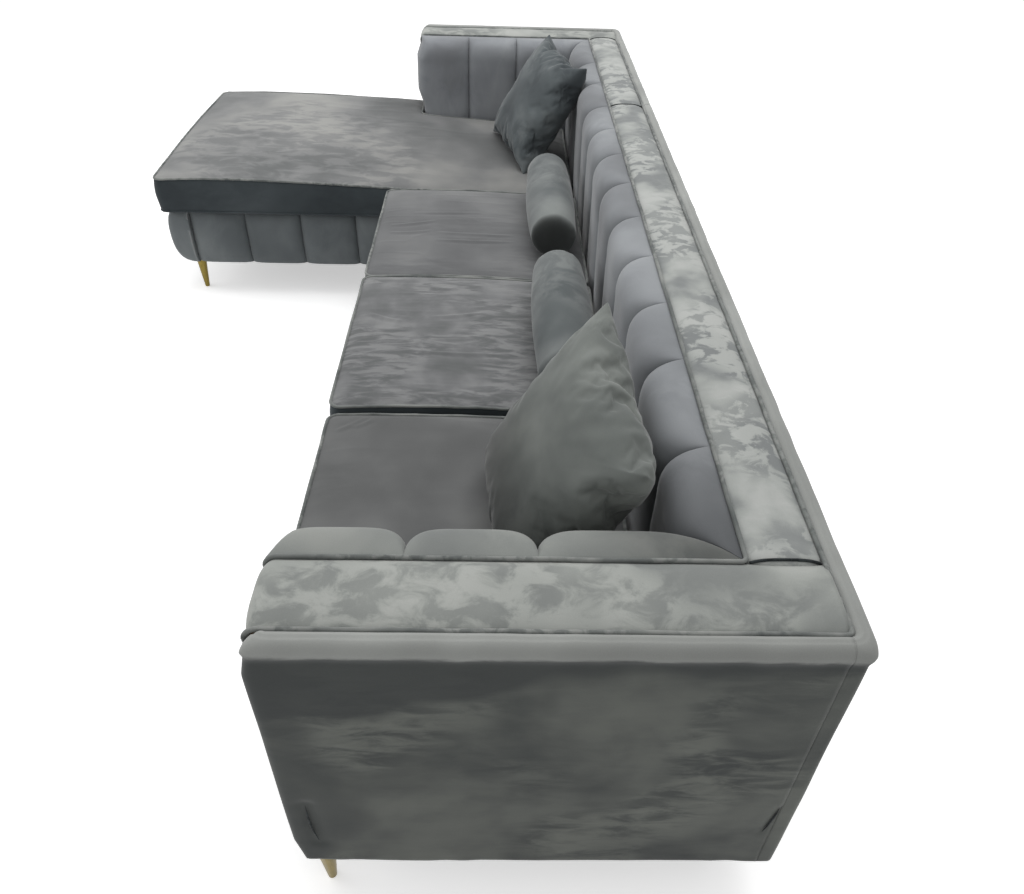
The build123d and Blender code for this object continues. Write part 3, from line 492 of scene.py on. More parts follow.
cap_waves = ((1.6 * mm, (0.16, 0.11, 0.2)), (0.7 * mm, (0.05, 0.035, 0.1)))
inner_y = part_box("sofa_back_cap")[0].y
inner_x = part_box("sofa_arm_cap")[0].x
outer_cap_x, outer_cap_y = right_x - rim_width, back_y - rim_width
seam_dip, seam_dip_run = 7 * mm, 3.5 * mm
seam_steps = np.array((0, 1, 2.5, 4.5, 7.5)) * mm


def cap(name, route, rise, across, cloth, nodes, seed):
    """A long pad: a route in the X-Y plane with its own height, carried across the pad's width.

    Across it the top follows a shallow superellipse that dips to the seams, with soft waves of noise.
    """
    width = np.linalg.norm(across)
    share = (1 - np.cos(np.linspace(0, np.pi, cap_samples))) / 2
    plan = route[:, None] + share[None, :, None] * across
    crown = (cap_crown + cap_sink) * (1 - np.abs(2 * share - 1) ** cap_power) - cap_sink
    flat = np.dstack((plan, np.broadcast_to(rise[:, None], plan.shape[:2])))
    middle = 1 - np.abs(2 * share - 1) ** cap_middle_power
    ahead = np.gradient(np.column_stack((route, rise)), axis=0)
    side = np.append(across, 0) / width
    up = np.cross(ahead, side)
    up /= np.linalg.norm(up, axis=1)[:, None] * np.sign(up[-1, 2])
    steps = np.linalg.norm(np.diff(route, axis=0), axis=1) + np.abs(np.diff(rise))
    run = np.concatenate(([0], np.cumsum(steps)))
    lead = np.minimum(1, run / (2 * cap_front_radius))[:, None] if rise[0] < rise[-1] - mm else 1.0
    outer = flat + ((crown + waves(flat, cap_waves, seed) * middle) * lead)[..., None] * up[:, None]
    inner = flat - (cap_thickness * middle.clip(cap_edge_share))[None, :, None] * up[:, None]
    upholster(wall(name + "_velvet", outer, inner), cloth, nodes)


turn_down = np.linspace(0, np.pi / 2, 12)
arm_route_y = np.concatenate((
    [cap_front_y], cap_front_y + cap_front_radius * (1 - np.cos(turn_down)),
    np.linspace(cap_front_y + cap_front_radius, outer_cap_y, cap_rows)[1:],
))
arm_route_z = np.concatenate((
    [edge_z - 2 * cap_front_radius], edge_z - cap_front_radius * (1 - np.sin(turn_down)),
    np.full(cap_rows - 1, edge_z),
))
for name, side, seed in (("sofa_arm_cap", 1, 51), ("chaise_arm_cap", -1, 61)):
    route = np.column_stack((np.full(len(arm_route_y), side * inner_x), arm_route_y))
    across = np.array((side * (outer_cap_x - inner_x), 0.0))
    cap(name, route, arm_route_z, across, arm_cap_cloth, (name,), seed)
for name, low_x, high_x, seed in (("sofa_back_cap", module_x, arm_face_x, 71),
                                  ("chaise_back_cap", -arm_face_x, chaise_module_x, 81)):
    middle_xs = np.linspace(low_x + cap_margin, high_x - cap_margin, int((high_x - low_x) / cap_step))
    xs = np.concatenate((low_x + seam_steps, middle_xs, (high_x - seam_steps)[::-1]))
    dip = seam_dip * (np.exp(-(xs - low_x) / seam_dip_run) + np.exp((xs - high_x) / seam_dip_run))
    route = np.column_stack((xs, np.full(len(xs), inner_y)))
    cap(name, route, edge_z - dip, np.array((0.0, outer_cap_y - inner_y)), cap_cloth, (name,), seed)

# Piping
# A cord in a bias strip of the same velvet, caught in the seams beside the caps and along the edges of
# the seat cushions. It wanders a little, as sewn piping does. Thinner near-black cords across the caps
# are painted shade in the seams there.
piping_cloth = velvet("velvet_piping", "#5b5f5e", "#777a78", "#8e908d", patch=0.12, mark=0.02, seed=5.0)
cap_piping_radius, cap_piping_bend, cap_piping_step = 3.6 * mm, 9 * mm, 8 * mm
cord_proud, inner_cord_inset, outer_cord_inset = 1.8 * mm, 0.5 * mm, 1.0 * mm
cord_wander, cord_waver = (0.8 * mm, 0.06), (0.5 * mm, 0.04)
foot_back, foot_down = 9 * mm, 10 * mm
cross_cord_radius, cross_cord_lift, cross_cord_sides = 2.4 * mm, 4 * mm, 8


def tube_grid(points, radius, sides=12, closed=False):
    """A round section carried along points: a ring at each, turned square to the run there."""
    if closed:
        ahead = np.roll(points, -1, axis=0) - np.roll(points, 1, axis=0)
    else:
        ahead = np.gradient(points, axis=0)
    ahead /= np.linalg.norm(ahead, axis=1)[:, None]
    side = np.cross(ahead, (0, 0, 1.0))
    weak = np.linalg.norm(side, axis=1) < 0.2
    side[weak] = np.cross(ahead[weak], (1.0, 0, 0))
    side /= np.linalg.norm(side, axis=1)[:, None]
    up = np.cross(side, ahead)
    angle = np.linspace(0, 2 * np.pi, sides, endpoint=False)[None, :, None]
    return points[:, None] + radius * (np.cos(angle) * side[:, None] + np.sin(angle) * up[:, None])


def tube(points, radius, sides=12, closed=False):
    """Points and quads of a tube; an open one is closed by drawing its end rings to a point."""
    rings = tube_grid(points, radius, sides, closed)
    if not closed:
        rings = np.concatenate((
            np.repeat(points[None, :1], sides, axis=1), rings, np.repeat(points[None, -1:], sides, axis=1),
        ))
    return rings.reshape(-1, 3), grid_faces(len(rings), sides, closed, True)


def joined(parts):
    """Several sets of points and quads as one."""
    verts, faces, start = [], [], 0
    for points, quads in parts:
        verts.append(points)
        faces.append(quads + start)
        start += len(points)
    return np.vstack(verts), np.vstack(faces)


seam_z = edge_z + cord_proud
inner_seam_x, inner_seam_y = arm_face_x + inner_cord_inset, inner_y - inner_cord_inset
outer_seam_x, outer_seam_y = outer_cap_x + outer_cord_inset, outer_cap_y + outer_cord_inset
pipes = []
for seam_x, seam_y, seed in ((inner_seam_x, inner_seam_y, 1), (outer_seam_x, outer_seam_y, 2)):
    for side, end_x in ((1, module_x), (-1, chaise_module_x)):
        corners = ((side * seam_x, cap_front_y + cap_front_radius), (side * seam_x, seam_y),
                   (end_x, seam_y))
        plan, across = bent_path(corners, cap_piping_bend, cap_piping_step)
        run = np.column_stack((plan, np.full(len(plan), seam_z)))
        wander = ripple(run, cord_wander[1], seed)[:, None] * np.column_stack((across, 0 * plan[:, :1]))
        waver = ripple(run, cord_waver[1], seed + 5)[:, None] * np.array((0, 0, 1.0))
        run += cord_wander[0] * wander + cord_waver[0] * waver
        over = turn_down[:-1, None]
        reach = cap_front_radius + cord_proud
        lead = np.column_stack((
            np.full(len(over), side * seam_x), cap_front_y + cap_front_radius - reach * np.cos(over),
            edge_z - cap_front_radius + reach * np.sin(over),
        ))
        foot = lead[:1] + (0, foot_back, -foot_down)
        pipes.append(tube(np.vstack((foot, lead, run)), cap_piping_radius))
upholster(skin("cap_piping_cord", *joined(pipes)), piping_cloth, ("cap_piping",))
seam_share = np.linspace(0.03, 0.97, 30)
seam_crown = cap_crown * (1 - np.abs(2 * seam_share - 1) ** cap_power)
seam_height = edge_z - seam_dip + seam_crown + cross_cord_lift
seam_ys = inner_y + seam_share * (outer_cap_y - inner_y)
seams = []
for seam_x in (arm_face_x, (module_x + chaise_module_x) / 2, -arm_face_x):
    route = np.column_stack((np.full(len(seam_ys), seam_x), seam_ys, seam_height))
    seams.append(tube(route, cross_cord_radius, cross_cord_sides))
upholster(skin("cap_cross_seams", *joined(seams)), painted_shade_cloth, ("cap_piping",))

# Channelled pads of the arms and backs
# Foam and fibre on the plywood panels under velvet sewn down in upright channels. Each channel stands
# plump and rolls over the top to the cap's seam; the corners are mitred.
# Painted shade and light: the back's channels darken towards the near arm, the near arm's channels darken
# towards the back, and the far arm's channels take a paler copy of the same velvet.
channel_cloth = velvet("velvet_channels", "#727477", "#838689", "#94979a", strokes=(1, 1, 0.6), patch=0.30,
                       mark=0.08, marked=0.3, edge=0.13, fade=("X", 1.42, 0.98, 0.42), seed=14.0)
lit_far_channel_cloth = velvet("velvet_far_arm_channels_lit", "#75777a", "#888b8f", "#9a9da0", strokes=(1, 1, 0.6),
                           patch=0.30, mark=0.08, marked=0.3, edge=0.13, seed=14.0)
arm_channel_cloth = velvet("velvet_near_arm_channels", "#747776", "#868986", "#949692", strokes=(1, 1, 0.6),
                           patch=0.30, mark=0.08, marked=0.4, edge=0.13, fade=("Y", 0.68, 0.40, 0.45),
                           seed=19.0)
channel_depth, channel_groove = 85 * mm, 27 * mm
channel_sharpness, fullness_power = 4.6, 1.7
crown_roundness, groove_roundness, crown_puff, puff_forward = 2.5, 1.75, 9 * mm, 0.6
foot_draw, puff_power, pinned_power, lean_power = 0.10, 0.7, 0.7, 1.5
end_radius, mitre_gap, mitre_fullness = 30 * mm, 0.3 * mm, 0.45
channel_samples, face_rows, roll_rows = 30, 34, 30
top_clearance, back_clearance = 1 * mm, 3 * mm
crease_spread, crease_middle = 3.0, 1.6
channel_waves = ((1.5 * mm, (0.09, 0.09, 0.13)), (0.5 * mm, (0.03, 0.03, 0.05)))
channel_creases = ((1.1 * mm, (0.035, 0.035, 0.018)),)
pad_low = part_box("sofa_back_channels")[0]
deck_z = pad_low.z
pad_roll_z = edge_z - channel_depth


def channel_stations(stops, start_fullness=0.0, end_fullness=0.0):
    """Places along a row of channels, crowded at the grooves, and how full the pad stands at each.

    A channel's fullness is a superellipse of its width. At a mitre it doesn't sink to a groove.
    """
    share = (1 - np.cos(np.linspace(0, np.pi, channel_samples + 1))) / 2
    full = (1 - np.abs(2 * share - 1) ** channel_sharpness) ** (1 / fullness_power)
    places, fulls = [], []
    last = len(stops) - 2
    for i, (low, high) in enumerate(zip(stops, stops[1:])):
        keep = slice(0, None if i == last else -1)
        places.append((low + (high - low) * share)[keep])
        shaped = full.copy()
        for fullness, mitred in ((start_fullness, i == 0 and share < 0.5),
                                 (end_fullness, i == last and share > 0.5)):
            shaped = np.where(mitred, np.maximum(shaped, fullness + (1 - fullness) * full), shaped)
        fulls.append(shaped[keep])
    return np.concatenate(places), np.concatenate(fulls)


def beside_groove(full):
    """How strongly creases show at each place: a bell curve of its fullness, most beside a groove."""
    return np.exp(-((1 - full)[:, None] * crease_spread - crease_middle) ** 2)


def standing_pad(name, origin, along, out, stops, seed, cloth, free_start=None, mitre_start=False,
                 mitre_end=False):
    """A row of upright channels: profile of a straight face and a quarter superellipse, along a run.

    The face stands out by the channel's fullness. Over the top the crown's curve is rounder than the
    groove's, and swells half way round. A free start rounds off, and comes forward with its arm's front.
    At a mitre the run is squeezed, so that it ends where the pad's depth meets the slanted cut.
    """
    places, full = channel_stations(stops, mitre_fullness * mitre_start, mitre_fullness * mitre_end)
    depth = channel_depth - channel_groove * (1 - full)
    if free_start:
        ease = (places / end_radius).clip(0, 1)
        depth = depth * np.sqrt(1 - (1 - ease) ** 2)
    face_z = np.linspace(deck_z, pad_roll_z, face_rows)[:-1]
    theta = np.linspace(np.pi / 2, 0, roll_rows)
    power = 2 / (groove_roundness + (crown_roundness - groove_roundness) * full)[:, None]
    drawn = 1 - foot_draw * np.linspace(1, 0, len(face_z)) ** 2
    puff = crown_puff * full[:, None] ** puff_power * np.sin(2 * theta).clip(0)
    rolled = depth[:, None] * np.sin(theta) ** power + puff_forward * puff
    reach = np.hstack((depth[:, None] * drawn, rolled))
    height = np.hstack((
        np.broadcast_to(face_z, (len(places), len(face_z))),
        pad_roll_z + (channel_depth - top_clearance) * np.cos(theta).clip(0) ** power + puff,
    ))
    along, out = np.array(along, float), np.array(out, float)
    run = np.broadcast_to(places[:, None], reach.shape)
    if free_start:
        run = run - front_swell(height, free_start) * (1 - places[:, None] / stops[1]).clip(0)
    total, low_stop, high_stop = stops[-1], stops[1], stops[-2]
    if mitre_start:
        squeezed = reach + mitre_gap + (low_stop - reach - mitre_gap) * run / low_stop
        run = np.where(run < low_stop, squeezed, run)
    if mitre_end:
        share = (run - high_stop) / (total - high_stop)
        run = np.where(run > high_stop, high_stop + share * (total - reach - mitre_gap - high_stop), run)
    inner = np.array(origin)[None, None] + run[..., None] * along
    flat = inner + reach[..., None] * out
    flat[..., 2] = height
    pinned = np.concatenate((np.ones(len(face_z)), np.sin(theta) ** pinned_power))[None]
    lean = np.concatenate((0 * face_z, np.cos(theta) ** lean_power))[None]
    soft = waves(flat, channel_waves, seed)
    push = (soft + beside_groove(full) * waves(flat, channel_creases, seed + 2)) * pinned
    outer = flat + (push * (1 - lean))[..., None] * out + (push * lean)[..., None] * np.array((0, 0, 1.0))
    inner[..., 2] = np.minimum(height, edge_z - back_clearance)
    upholster(wall(name + "_velvet", outer, inner), cloth, (name,))


corner_channel, chaise_channel, arm_channel = 253 * mm, 245 * mm, 188 * mm
corner_channels, even_channels = 2, 7
back_face_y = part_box("sofa_back_channels")[1].y
back_run = arm_face_x - module_x
wide_run = corner_channels * corner_channel
back_stops = np.concatenate((
    np.arange(corner_channels) * corner_channel,
    wide_run + np.linspace(0, back_run - wide_run, even_channels + 1),
))
chaise_run = chaise_module_x + arm_face_x
arm_run = back_face_y - front_y
standing_pad("sofa_back_channels", (arm_face_x, back_face_y, 0), (-1, 0, 0), (0, -1, 0), back_stops, 101,
             channel_cloth, mitre_start=True)
chaise_stops = np.array((0, chaise_channel, 2 * chaise_channel, chaise_run))
standing_pad("chaise_back_channels", (chaise_module_x, back_face_y, 0), (-1, 0, 0), (0, -1, 0),
             chaise_stops, 111, channel_cloth, mitre_end=True)
arm_stops = np.array((0, arm_channel, 2 * arm_channel, arm_run))
standing_pad("sofa_arm_channels", (arm_face_x, front_y, 0), (0, 1, 0), (-1, 0, 0), arm_stops, 121,
             arm_channel_cloth, free_start=near_swell, mitre_end=True)
standing_pad("chaise_arm_channels", (-arm_face_x, front_y, 0), (0, 1, 0), (1, 0, 0), arm_stops, 131,
             lit_far_channel_cloth, free_start=far_swell, mitre_end=True)

# Channelled pads of the base
# The same channels round the base rails, blown up to a barrel. The chaise has them on its front and
# both sides, and the front pad turns its corners. A strip of the same velvet is stapled over the rail
# in the inner corner, where two pads meet.
# Painted shade: the base's channels and the corner strip take a darker copy of the channels' velvet.
shaded_base_cloth = velvet("velvet_base_channels", "#5a5f61", "#686d6f", "#777c7d", strokes=(1, 1, 0.6),
                    patch=0.22, mark=0.08, marked=0.3, edge=0.16, seed=17.0)
base_groove, base_samples, draw_length = 26 * mm, 34, 90 * mm
barrel_middle, barrel_power, barrel_rise_power, barrel_edge = 0.55, 0.62, 0.86, 0.30
base_waves = ((1.6 * mm, (0.10, 0.10, 0.09)), (0.6 * mm, (0.035, 0.035, 0.03)))
base_creases = ((0.9 * mm, (0.03, 0.03, 0.016)),)


def base_pad(name, origin, along, out, stops, depth, seed, round_start=0.0, round_end=0.0, end_draw=0.0):
    """A row of channels on a barrel profile from hem to deck, whose ends may round off to the frame.

    The profile's reach is a superellipse of the height about a point above the middle; the height
    follows an even run of angles, so that it turns under to the hem and in to the deck. An end draw
    pulls both ends in along the run where the barrel is thin, to meet the pads beside them.
    """
    places, full = channel_stations(stops)
    total = stops[-1]
    shape = depth - base_groove * (1 - full)
    for radius, away in ((round_start, places), (round_end, total - places)):
        if radius:
            ease = (away / radius).clip(0, 1)
            shape = np.minimum(shape, depth * np.sqrt(1 - (1 - ease) ** 2))
    angle = np.linspace(-0.5 * np.pi, 0.5 * np.pi, base_samples)
    thick = np.abs(np.cos(angle)) ** barrel_power
    middle = hem_z + barrel_middle * (deck_z - hem_z)
    half = np.where(angle < 0, middle - hem_z, deck_z - middle)
    rise = middle + half * np.sign(np.sin(angle)) * np.abs(np.sin(angle)) ** barrel_rise_power
    reach = shape[:, None] * (barrel_edge + (1 - barrel_edge) * thick[None])
    along, out = np.array(along, float), np.array(out, float)
    at_end = (1 - places / draw_length).clip(0) - (1 - (total - places) / draw_length).clip(0)
    run = places[:, None] + end_draw * (1 - barrel_edge) * at_end[:, None] * (1 - thick)
    inner = np.array(origin)[None, None] + run[..., None] * along
    flat = inner + reach[..., None] * out
    flat[..., 2] = inner[..., 2] = rise
    soft = waves(flat, base_waves, seed)
    push = (soft + beside_groove(full) * waves(flat, base_creases, seed + 2)) * thick
    upholster(wall(name + "_velvet", flat + push[..., None] * out, inner), shaded_base_cloth, (name,))


front_low, front_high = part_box("sofa_front_channels")
inner_low, inner_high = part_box("chaise_inner_side_channels")
outer_low, outer_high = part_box("chaise_outer_side_channels")
nose_low, nose_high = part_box("chaise_front_channels")
front_channels, nose_channels, side_channels = 10, 5, 4
corner_turn, front_round, nose_round = 39 * mm, 24 * mm, 46 * mm
side_start = nose_high.y + corner_turn
base_pad("sofa_front_channels", (front_high.x, front_high.y, 0), (-1, 0, 0), (0, -1, 0),
         np.linspace(0, front_high.x - front_low.x, front_channels + 1), front_high.y - front_low.y, 141,
         round_start=front_round)
base_pad("chaise_inner_side_channels", (inner_low.x, side_start, 0), (0, 1, 0), (1, 0, 0),
         np.linspace(0, inner_high.y - side_start, side_channels + 1), inner_high.x - inner_low.x, 151)
base_pad("chaise_outer_side_channels", (outer_high.x, side_start, 0), (0, 1, 0), (-1, 0, 0),
         np.linspace(0, outer_high.y - side_start, side_channels + 1), outer_high.x - outer_low.x, 161)
base_pad("chaise_front_channels", (nose_high.x, side_start, 0), (-1, 0, 0), (0, -1, 0),
         np.linspace(0, nose_high.x - nose_low.x, nose_channels + 1), side_start - nose_low.y, 171,
         round_start=nose_round, round_end=nose_round, end_draw=inner_high.x - inner_low.x)
lining_overlap, lining_ahead, lining_thickness, lining_wave = 15 * mm, 3 * mm, 2 * mm, 0.8 * mm
lining_x, lining_z = np.meshgrid(np.linspace(inner_low.x, front_low.x + lining_overlap, 8),
                                 np.linspace(hem_z, deck_z, 20), indexing="ij")
lining = np.dstack((lining_x, 0 * lining_x, lining_z))
lining[..., 1] = front_high.y - lining_ahead + lining_wave * ripple(lining, 0.05, 181)
upholster(wall("inner_corner_lining", lining, lining + (0, lining_thickness, 0)), shaded_base_cloth,
          ("sofa_front_channels",))

# Seat cushions
# Foam blocks in boxed velvet covers, piped along both edges. The seats are loose and sat on: the top
# stands in a low crown with folds across it, and the boxing bulges between its seams.
# Painted shade: the near seat, in the near arm's shade, takes a darker copy of the seat velvet.
shaded_near_seat_cloth = velvet("velvet_near_seat_shaded", "#5b5c5c", "#686969", "#777877", strokes=(3.2, 0.75, 1),
                         patch=0.26, mark=0.10, marked=0.35, edge=0.15, seed=43.0)
brushed_cloth = velvet("velvet_brushed_seat", "#626464", "#717273", "#838484", strokes=(3.4, 0.8, 1),
                       patch=0.13, mark=0.07, marked=0.85, edge=0.11, seed=26.0)
seat_cloth = velvet("velvet_seats", "#5e5f60", "#6b6c6d", "#7a7b7b", strokes=(3.2, 0.75, 1), patch=0.26,
                    mark=0.10, marked=0.35, edge=0.15, seed=23.0)
# Painted light and shade: the chaise takes a paler copy of the seat velvet, darkened towards the back.
chaise_cloth = velvet("velvet_chaise_seat", "#686a6a", "#7f8080", "#9b9b98", strokes=(2.2, 1.0, 1),
                      patch=0.42, mark=0.10, marked=0.4, edge=0.11, fade=("Y", 0.35, -0.45, 0.70),
                      seed=37.0)
# Painted shade: a darker copy of the seat velvet for the cushions' upright sides and lower piping.
boxing_shade_cloth = velvet("velvet_boxing_shade", "#33383b", "#3e4447", "#4c5255", strokes=(1, 1, 2), patch=0.3,
                      mark=0.05, marked=0.15, edge=0.2, seed=29.0)
cushion_inset, cushion_draw_in, draw_in_run = 3 * mm, 3 * mm, 200 * mm
cushion_corner, outline_step = 26 * mm, 4 * mm
edge_drop, edge_reach, edge_power = 9 * mm, 17 * mm, 1.3
under_lift, under_reach, under_power = 3 * mm, 14 * mm, 1.5
front_lift_run, fold_margin = 550 * mm, 22 * mm
top_waves = ((3.2 * mm, (0.15, 0.19, 1)),)
corner_waves, corner_waves_reach = ((1.6 * mm, (0.035, 0.035, 1)),), 75 * mm
fold_drift, fold_drift_size, fold_patch_size = 12 * mm, (0.07, 0.07, 1), (0.14, 0.14, 1)
fold_patch_middle, fold_patch_range = 0.5, 0.9
fold_height, fold_width, fold_bow, hollow_share, hollow_spread = 6 * mm, 7 * mm, 6 * mm, 0.55, 2.2
boxing_bulge, boxing_rows, boxing_power, steep_normal = 7 * mm, 15, 0.7, 0.55
boxing_waves = ((1.0 * mm, (0.07, 0.07, 0.05)), (0.7 * mm, (0.12, 0.12, 0.02)))
cushion_piping_radius, cushion_piping_sides, piping_out = 3.6 * mm, 10, 1.0 * mm
top_piping_lift, low_piping_lift, piping_waves = 0.6 * mm, 2.5 * mm, ((0.7 * mm, 0.05),)


def resampled(points, count):
    """A plan line again, with points at even lengths along it."""
    run = np.concatenate(([0], np.cumsum(np.linalg.norm(np.diff(points, axis=0), axis=1))))
    even = np.linspace(0, run[-1], count)
    return np.column_stack([np.interp(even, run, points[:, axis]) for axis in (0, 1)])


def away_from(points, line, block=4000):
    """Distance from each plan point to the nearest point of a closed line."""
    flat = points.reshape(-1, 2)
    parts = [
        np.sqrt(((flat[i:i + block, None] - line[None]) ** 2).sum(-1).min(1))
        for i in range(0, len(flat), block)
    ]
    return np.concatenate(parts).reshape(points.shape[:-1])


def cushion_plan(corners, grid_corners, counts):
    """A cushion's rounded outline, drawn in between its corners, and a ruled blend of its four sides."""
    outline, inward = bent_path(corners, cushion_corner, outline_step, closed=True)
    from_corner = np.linalg.norm(outline[:, None] - corners[None], axis=-1).min(1)
    ease = (from_corner / draw_in_run).clip(0, 1)
    outline = outline + inward * (cushion_inset + cushion_draw_in * ease * ease * (3 - 2 * ease))[:, None]
    marks = [int(np.argmin(np.linalg.norm(outline - corners[i], axis=1))) for i in grid_corners]
    ring = np.roll(outline, -marks[0], axis=0)
    marks = [(mark - marks[0]) % len(outline) for mark in marks] + [len(outline)]
    ring = np.vstack((ring, ring[:1]))
    across, deep = counts
    sides = [resampled(ring[a:b + 1], n) for a, b, n in zip(marks, marks[1:], (across, deep, across, deep))]
    front, right, back, left = sides[0], sides[1], sides[2][::-1], sides[3][::-1]
    u = np.linspace(0, 1, across)[:, None, None]
    v = np.linspace(0, 1, deep)[None, :, None]
    plan = (
        (1 - v) * front[:, None] + v * back[:, None] + (1 - u) * left[None] + u * right[None]
        - (1 - u) * (1 - v) * front[0] - u * (1 - v) * front[-1] - (1 - u) * v * back[0] - u * v * back[-1]
    )
    return outline, plan


def cushion_top(plan, rim_distance, corners, high_z, peak, crown_radius, seed, folds, lines, front_lift):
    """A cushion's top over its plan: as high as a very large sphere, falling to the seam near its edge.

    The front lift is a bell curve from the front. Folds are narrow ridges of noise, long in one
    direction. Each line is a single fold between two plan points: a narrow ridge in a wider,
    shallower hollow. Small waves gather at the corners.
    """
    sphere = high_z - ((plan - peak) ** 2).sum(-1) / (2 * crown_radius)
    sphere += front_lift * np.exp(-((plan[..., 1] - corners[0, 1]) / front_lift_run) ** 2)
    top = np.dstack((plan, sphere - edge_drop * np.exp(-(rim_distance / edge_reach) ** edge_power)))
    inside = 1 - np.exp(-(rim_distance / fold_margin) ** 2)
    top[..., 2] += inside * waves(top, top_waves, seed)
    for size, height, sharp, offset in folds:
        drifted = top + fold_drift * ripple(top, fold_drift_size, seed + offset + 9)[..., None]
        line = ripple(drifted, size, seed + offset)
        patchy = fold_patch_middle + fold_patch_range * ripple(top, fold_patch_size, seed + offset + 5)
        top[..., 2] += inside * height * patchy.clip(0, 1) * (1 - np.abs(line)) ** sharp
    for start, stop in lines:
        start, run = np.array(start), np.array(stop) - np.array(start)
        along = ((plan - start) @ run / (run @ run)).clip(0, 1)[..., None]
        arch = np.sin(np.pi * along)
        away = np.linalg.norm(plan - start - along * run - fold_bow * arch * (1.0, 0.0), axis=-1)
        hollow = hollow_share * np.exp(-(away / (hollow_spread * fold_width)) ** 2)
        ridge = np.exp(-(away / fold_width) ** 2) - hollow
        top[..., 2] += inside * fold_height * arch[..., 0] ** 0.6 * ridge
    from_corner = np.linalg.norm(plan[:, :, None] - corners, axis=-1).min(-1)
    near_corner = np.exp(-(from_corner / corner_waves_reach) ** 2)
    top[..., 2] += inside * near_corner * waves(top, corner_waves, seed + 3)
    return top


def cushion(name, corners, grid_corners, counts, low_z, high_z, peak, crown_radius, seed, nodes, body,
            folds, cloth, front_lift=0.0, lines=()):
    """A boxed cushion: top, boxing and bottom as one closed skin, with piping on both seams.

    The boxing is a ruled band between the seams that stands out by a power of a half sine. Faces whose
    normal is nearly level take a darker copy of the velvet, painted shade, as does the lower piping.
    """
    corners = np.asarray(corners, float)
    outline, plan = cushion_plan(corners, grid_corners, counts)
    rim_distance = away_from(plan, outline[::2])
    top = cushion_top(plan, rim_distance, corners, high_z, peak, crown_radius, seed, folds, lines,
                      front_lift)
    bottom = top.copy()
    bottom[..., 2] = low_z + under_lift * np.exp(-(rim_distance / under_reach) ** under_power)
    index = np.arange(top[..., 0].size).reshape(top.shape[:2])
    rim = np.concatenate((index[:-1, 0], index[-1, :-1], index[:0:-1, -1], index[0, :0:-1]))
    upper, lower = top.reshape(-1, 3)[rim], bottom.reshape(-1, 3)[rim]
    ahead = np.roll(upper, -1, axis=0)[:, :2] - np.roll(upper, 1, axis=0)[:, :2]
    outward = np.column_stack((ahead[:, 1], -ahead[:, 0], 0 * rim))
    outward /= np.linalg.norm(ahead, axis=1)[:, None]
    share = np.linspace(0, 1, boxing_rows)[:, None, None]
    band = upper + share * (lower - upper)
    band = band + (boxing_bulge * np.sin(np.pi * share) ** boxing_power) * outward
    loose = waves(band, boxing_waves, seed + 7)
    band = band + (loose * np.sin(np.pi * share[..., 0]))[..., None] * outward
    faces = grid_faces(*counts)
    verts, quads = joined((
        (top.reshape(-1, 3), faces), (bottom.reshape(-1, 3), faces[:, ::-1]),
        (band.reshape(-1, 3), grid_faces(boxing_rows, len(rim), False, True)),
    ))
    body_piece = skin(name, verts, quads)
    upholster(body_piece, cloth, nodes, body)
    body_piece.data.materials.append(boxing_shade_cloth)
    normals = np.empty(len(body_piece.data.polygons) * 3)
    body_piece.data.polygons.foreach_get("normal", normals)
    # Upright faces take the darker copy: painted shade.
    steep = (np.abs(normals.reshape(-1, 3)[:, 2]) < steep_normal).astype(np.int32)
    body_piece.data.polygons.foreach_set("material_index", steep)
    for edge, line, lift, cord in (("top", upper, top_piping_lift, piping_cloth),
                                   ("low", lower, low_piping_lift, boxing_shade_cloth)):
        route = line[::2] + outward[::2] * piping_out + np.array((0, 0, lift))
        route = route + waves(route, piping_waves, seed + 21)[:, None] * outward[::2]
        points, quads = tube(route, cushion_piping_radius, cushion_piping_sides, closed=True)
        piece = skin(name + "_" + edge + "_piping", points, quads)
        upholster(piece, cord, nodes, body)


# Each noise fold has a cell size, a height, a sharpness and a seed offset. Each single fold has its two
# ends in plan.
seat_folds = {
    "near": (((0.05, 0.22, 1), 1.4 * mm, 5, 11),),
    "middle": (((0.030, 0.20, 1), 2.6 * mm, 7, 12), ((0.018, 0.09, 1), 1.3 * mm, 6, 13)),
    "far": (((0.035, 0.26, 1), 2.6 * mm, 8, 14),),
}
seat_lines = {
    "near": (((0.765, -0.005), (0.705, 0.060)), ((0.752, 0.030), (0.712, 0.075))),
    "middle": (((0.300, 0.010), (0.345, 0.110)), ((0.316, 0.177), (0.286, 0.318)),
               ((0.477, 0.110), (0.483, 0.353))),
    "far": (((-0.321, 0.073), (-0.332, 0.289)), ((-0.229, 0.012), (-0.262, 0.150)),
            ((-0.180, 0.014), (-0.190, 0.140)), ((-0.181, 0.155), (-0.178, 0.396)),
            ((-0.133, 0.152), (-0.138, 0.395))),
}
seat_cloths = {"near": shaded_near_seat_cloth, "middle": brushed_cloth, "far": seat_cloth}
seat_grid, seat_crown_radius, peak_share = (170, 158), 4.4, 0.33
for seat_name, seed in (("near", 201), ("middle", 211), ("far", 221)):
    low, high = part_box("seat_cover_" + seat_name)
    peak = np.array(((low.x + high.x) / 2, low.y + peak_share * (high.y - low.y)))
    cushion("seat_" + seat_name, ((low.x, low.y), (high.x, low.y), (high.x, high.y), (low.x, high.y)),
            (0, 1, 2, 3), seat_grid, low.z, high.z, peak, seat_crown_radius, seed,
            ("seat_cover_" + seat_name, "seat_foam_" + seat_name), "seat_cushion_" + seat_name,
            seat_folds[seat_name], seat_cloths[seat_name], lines=seat_lines[seat_name])

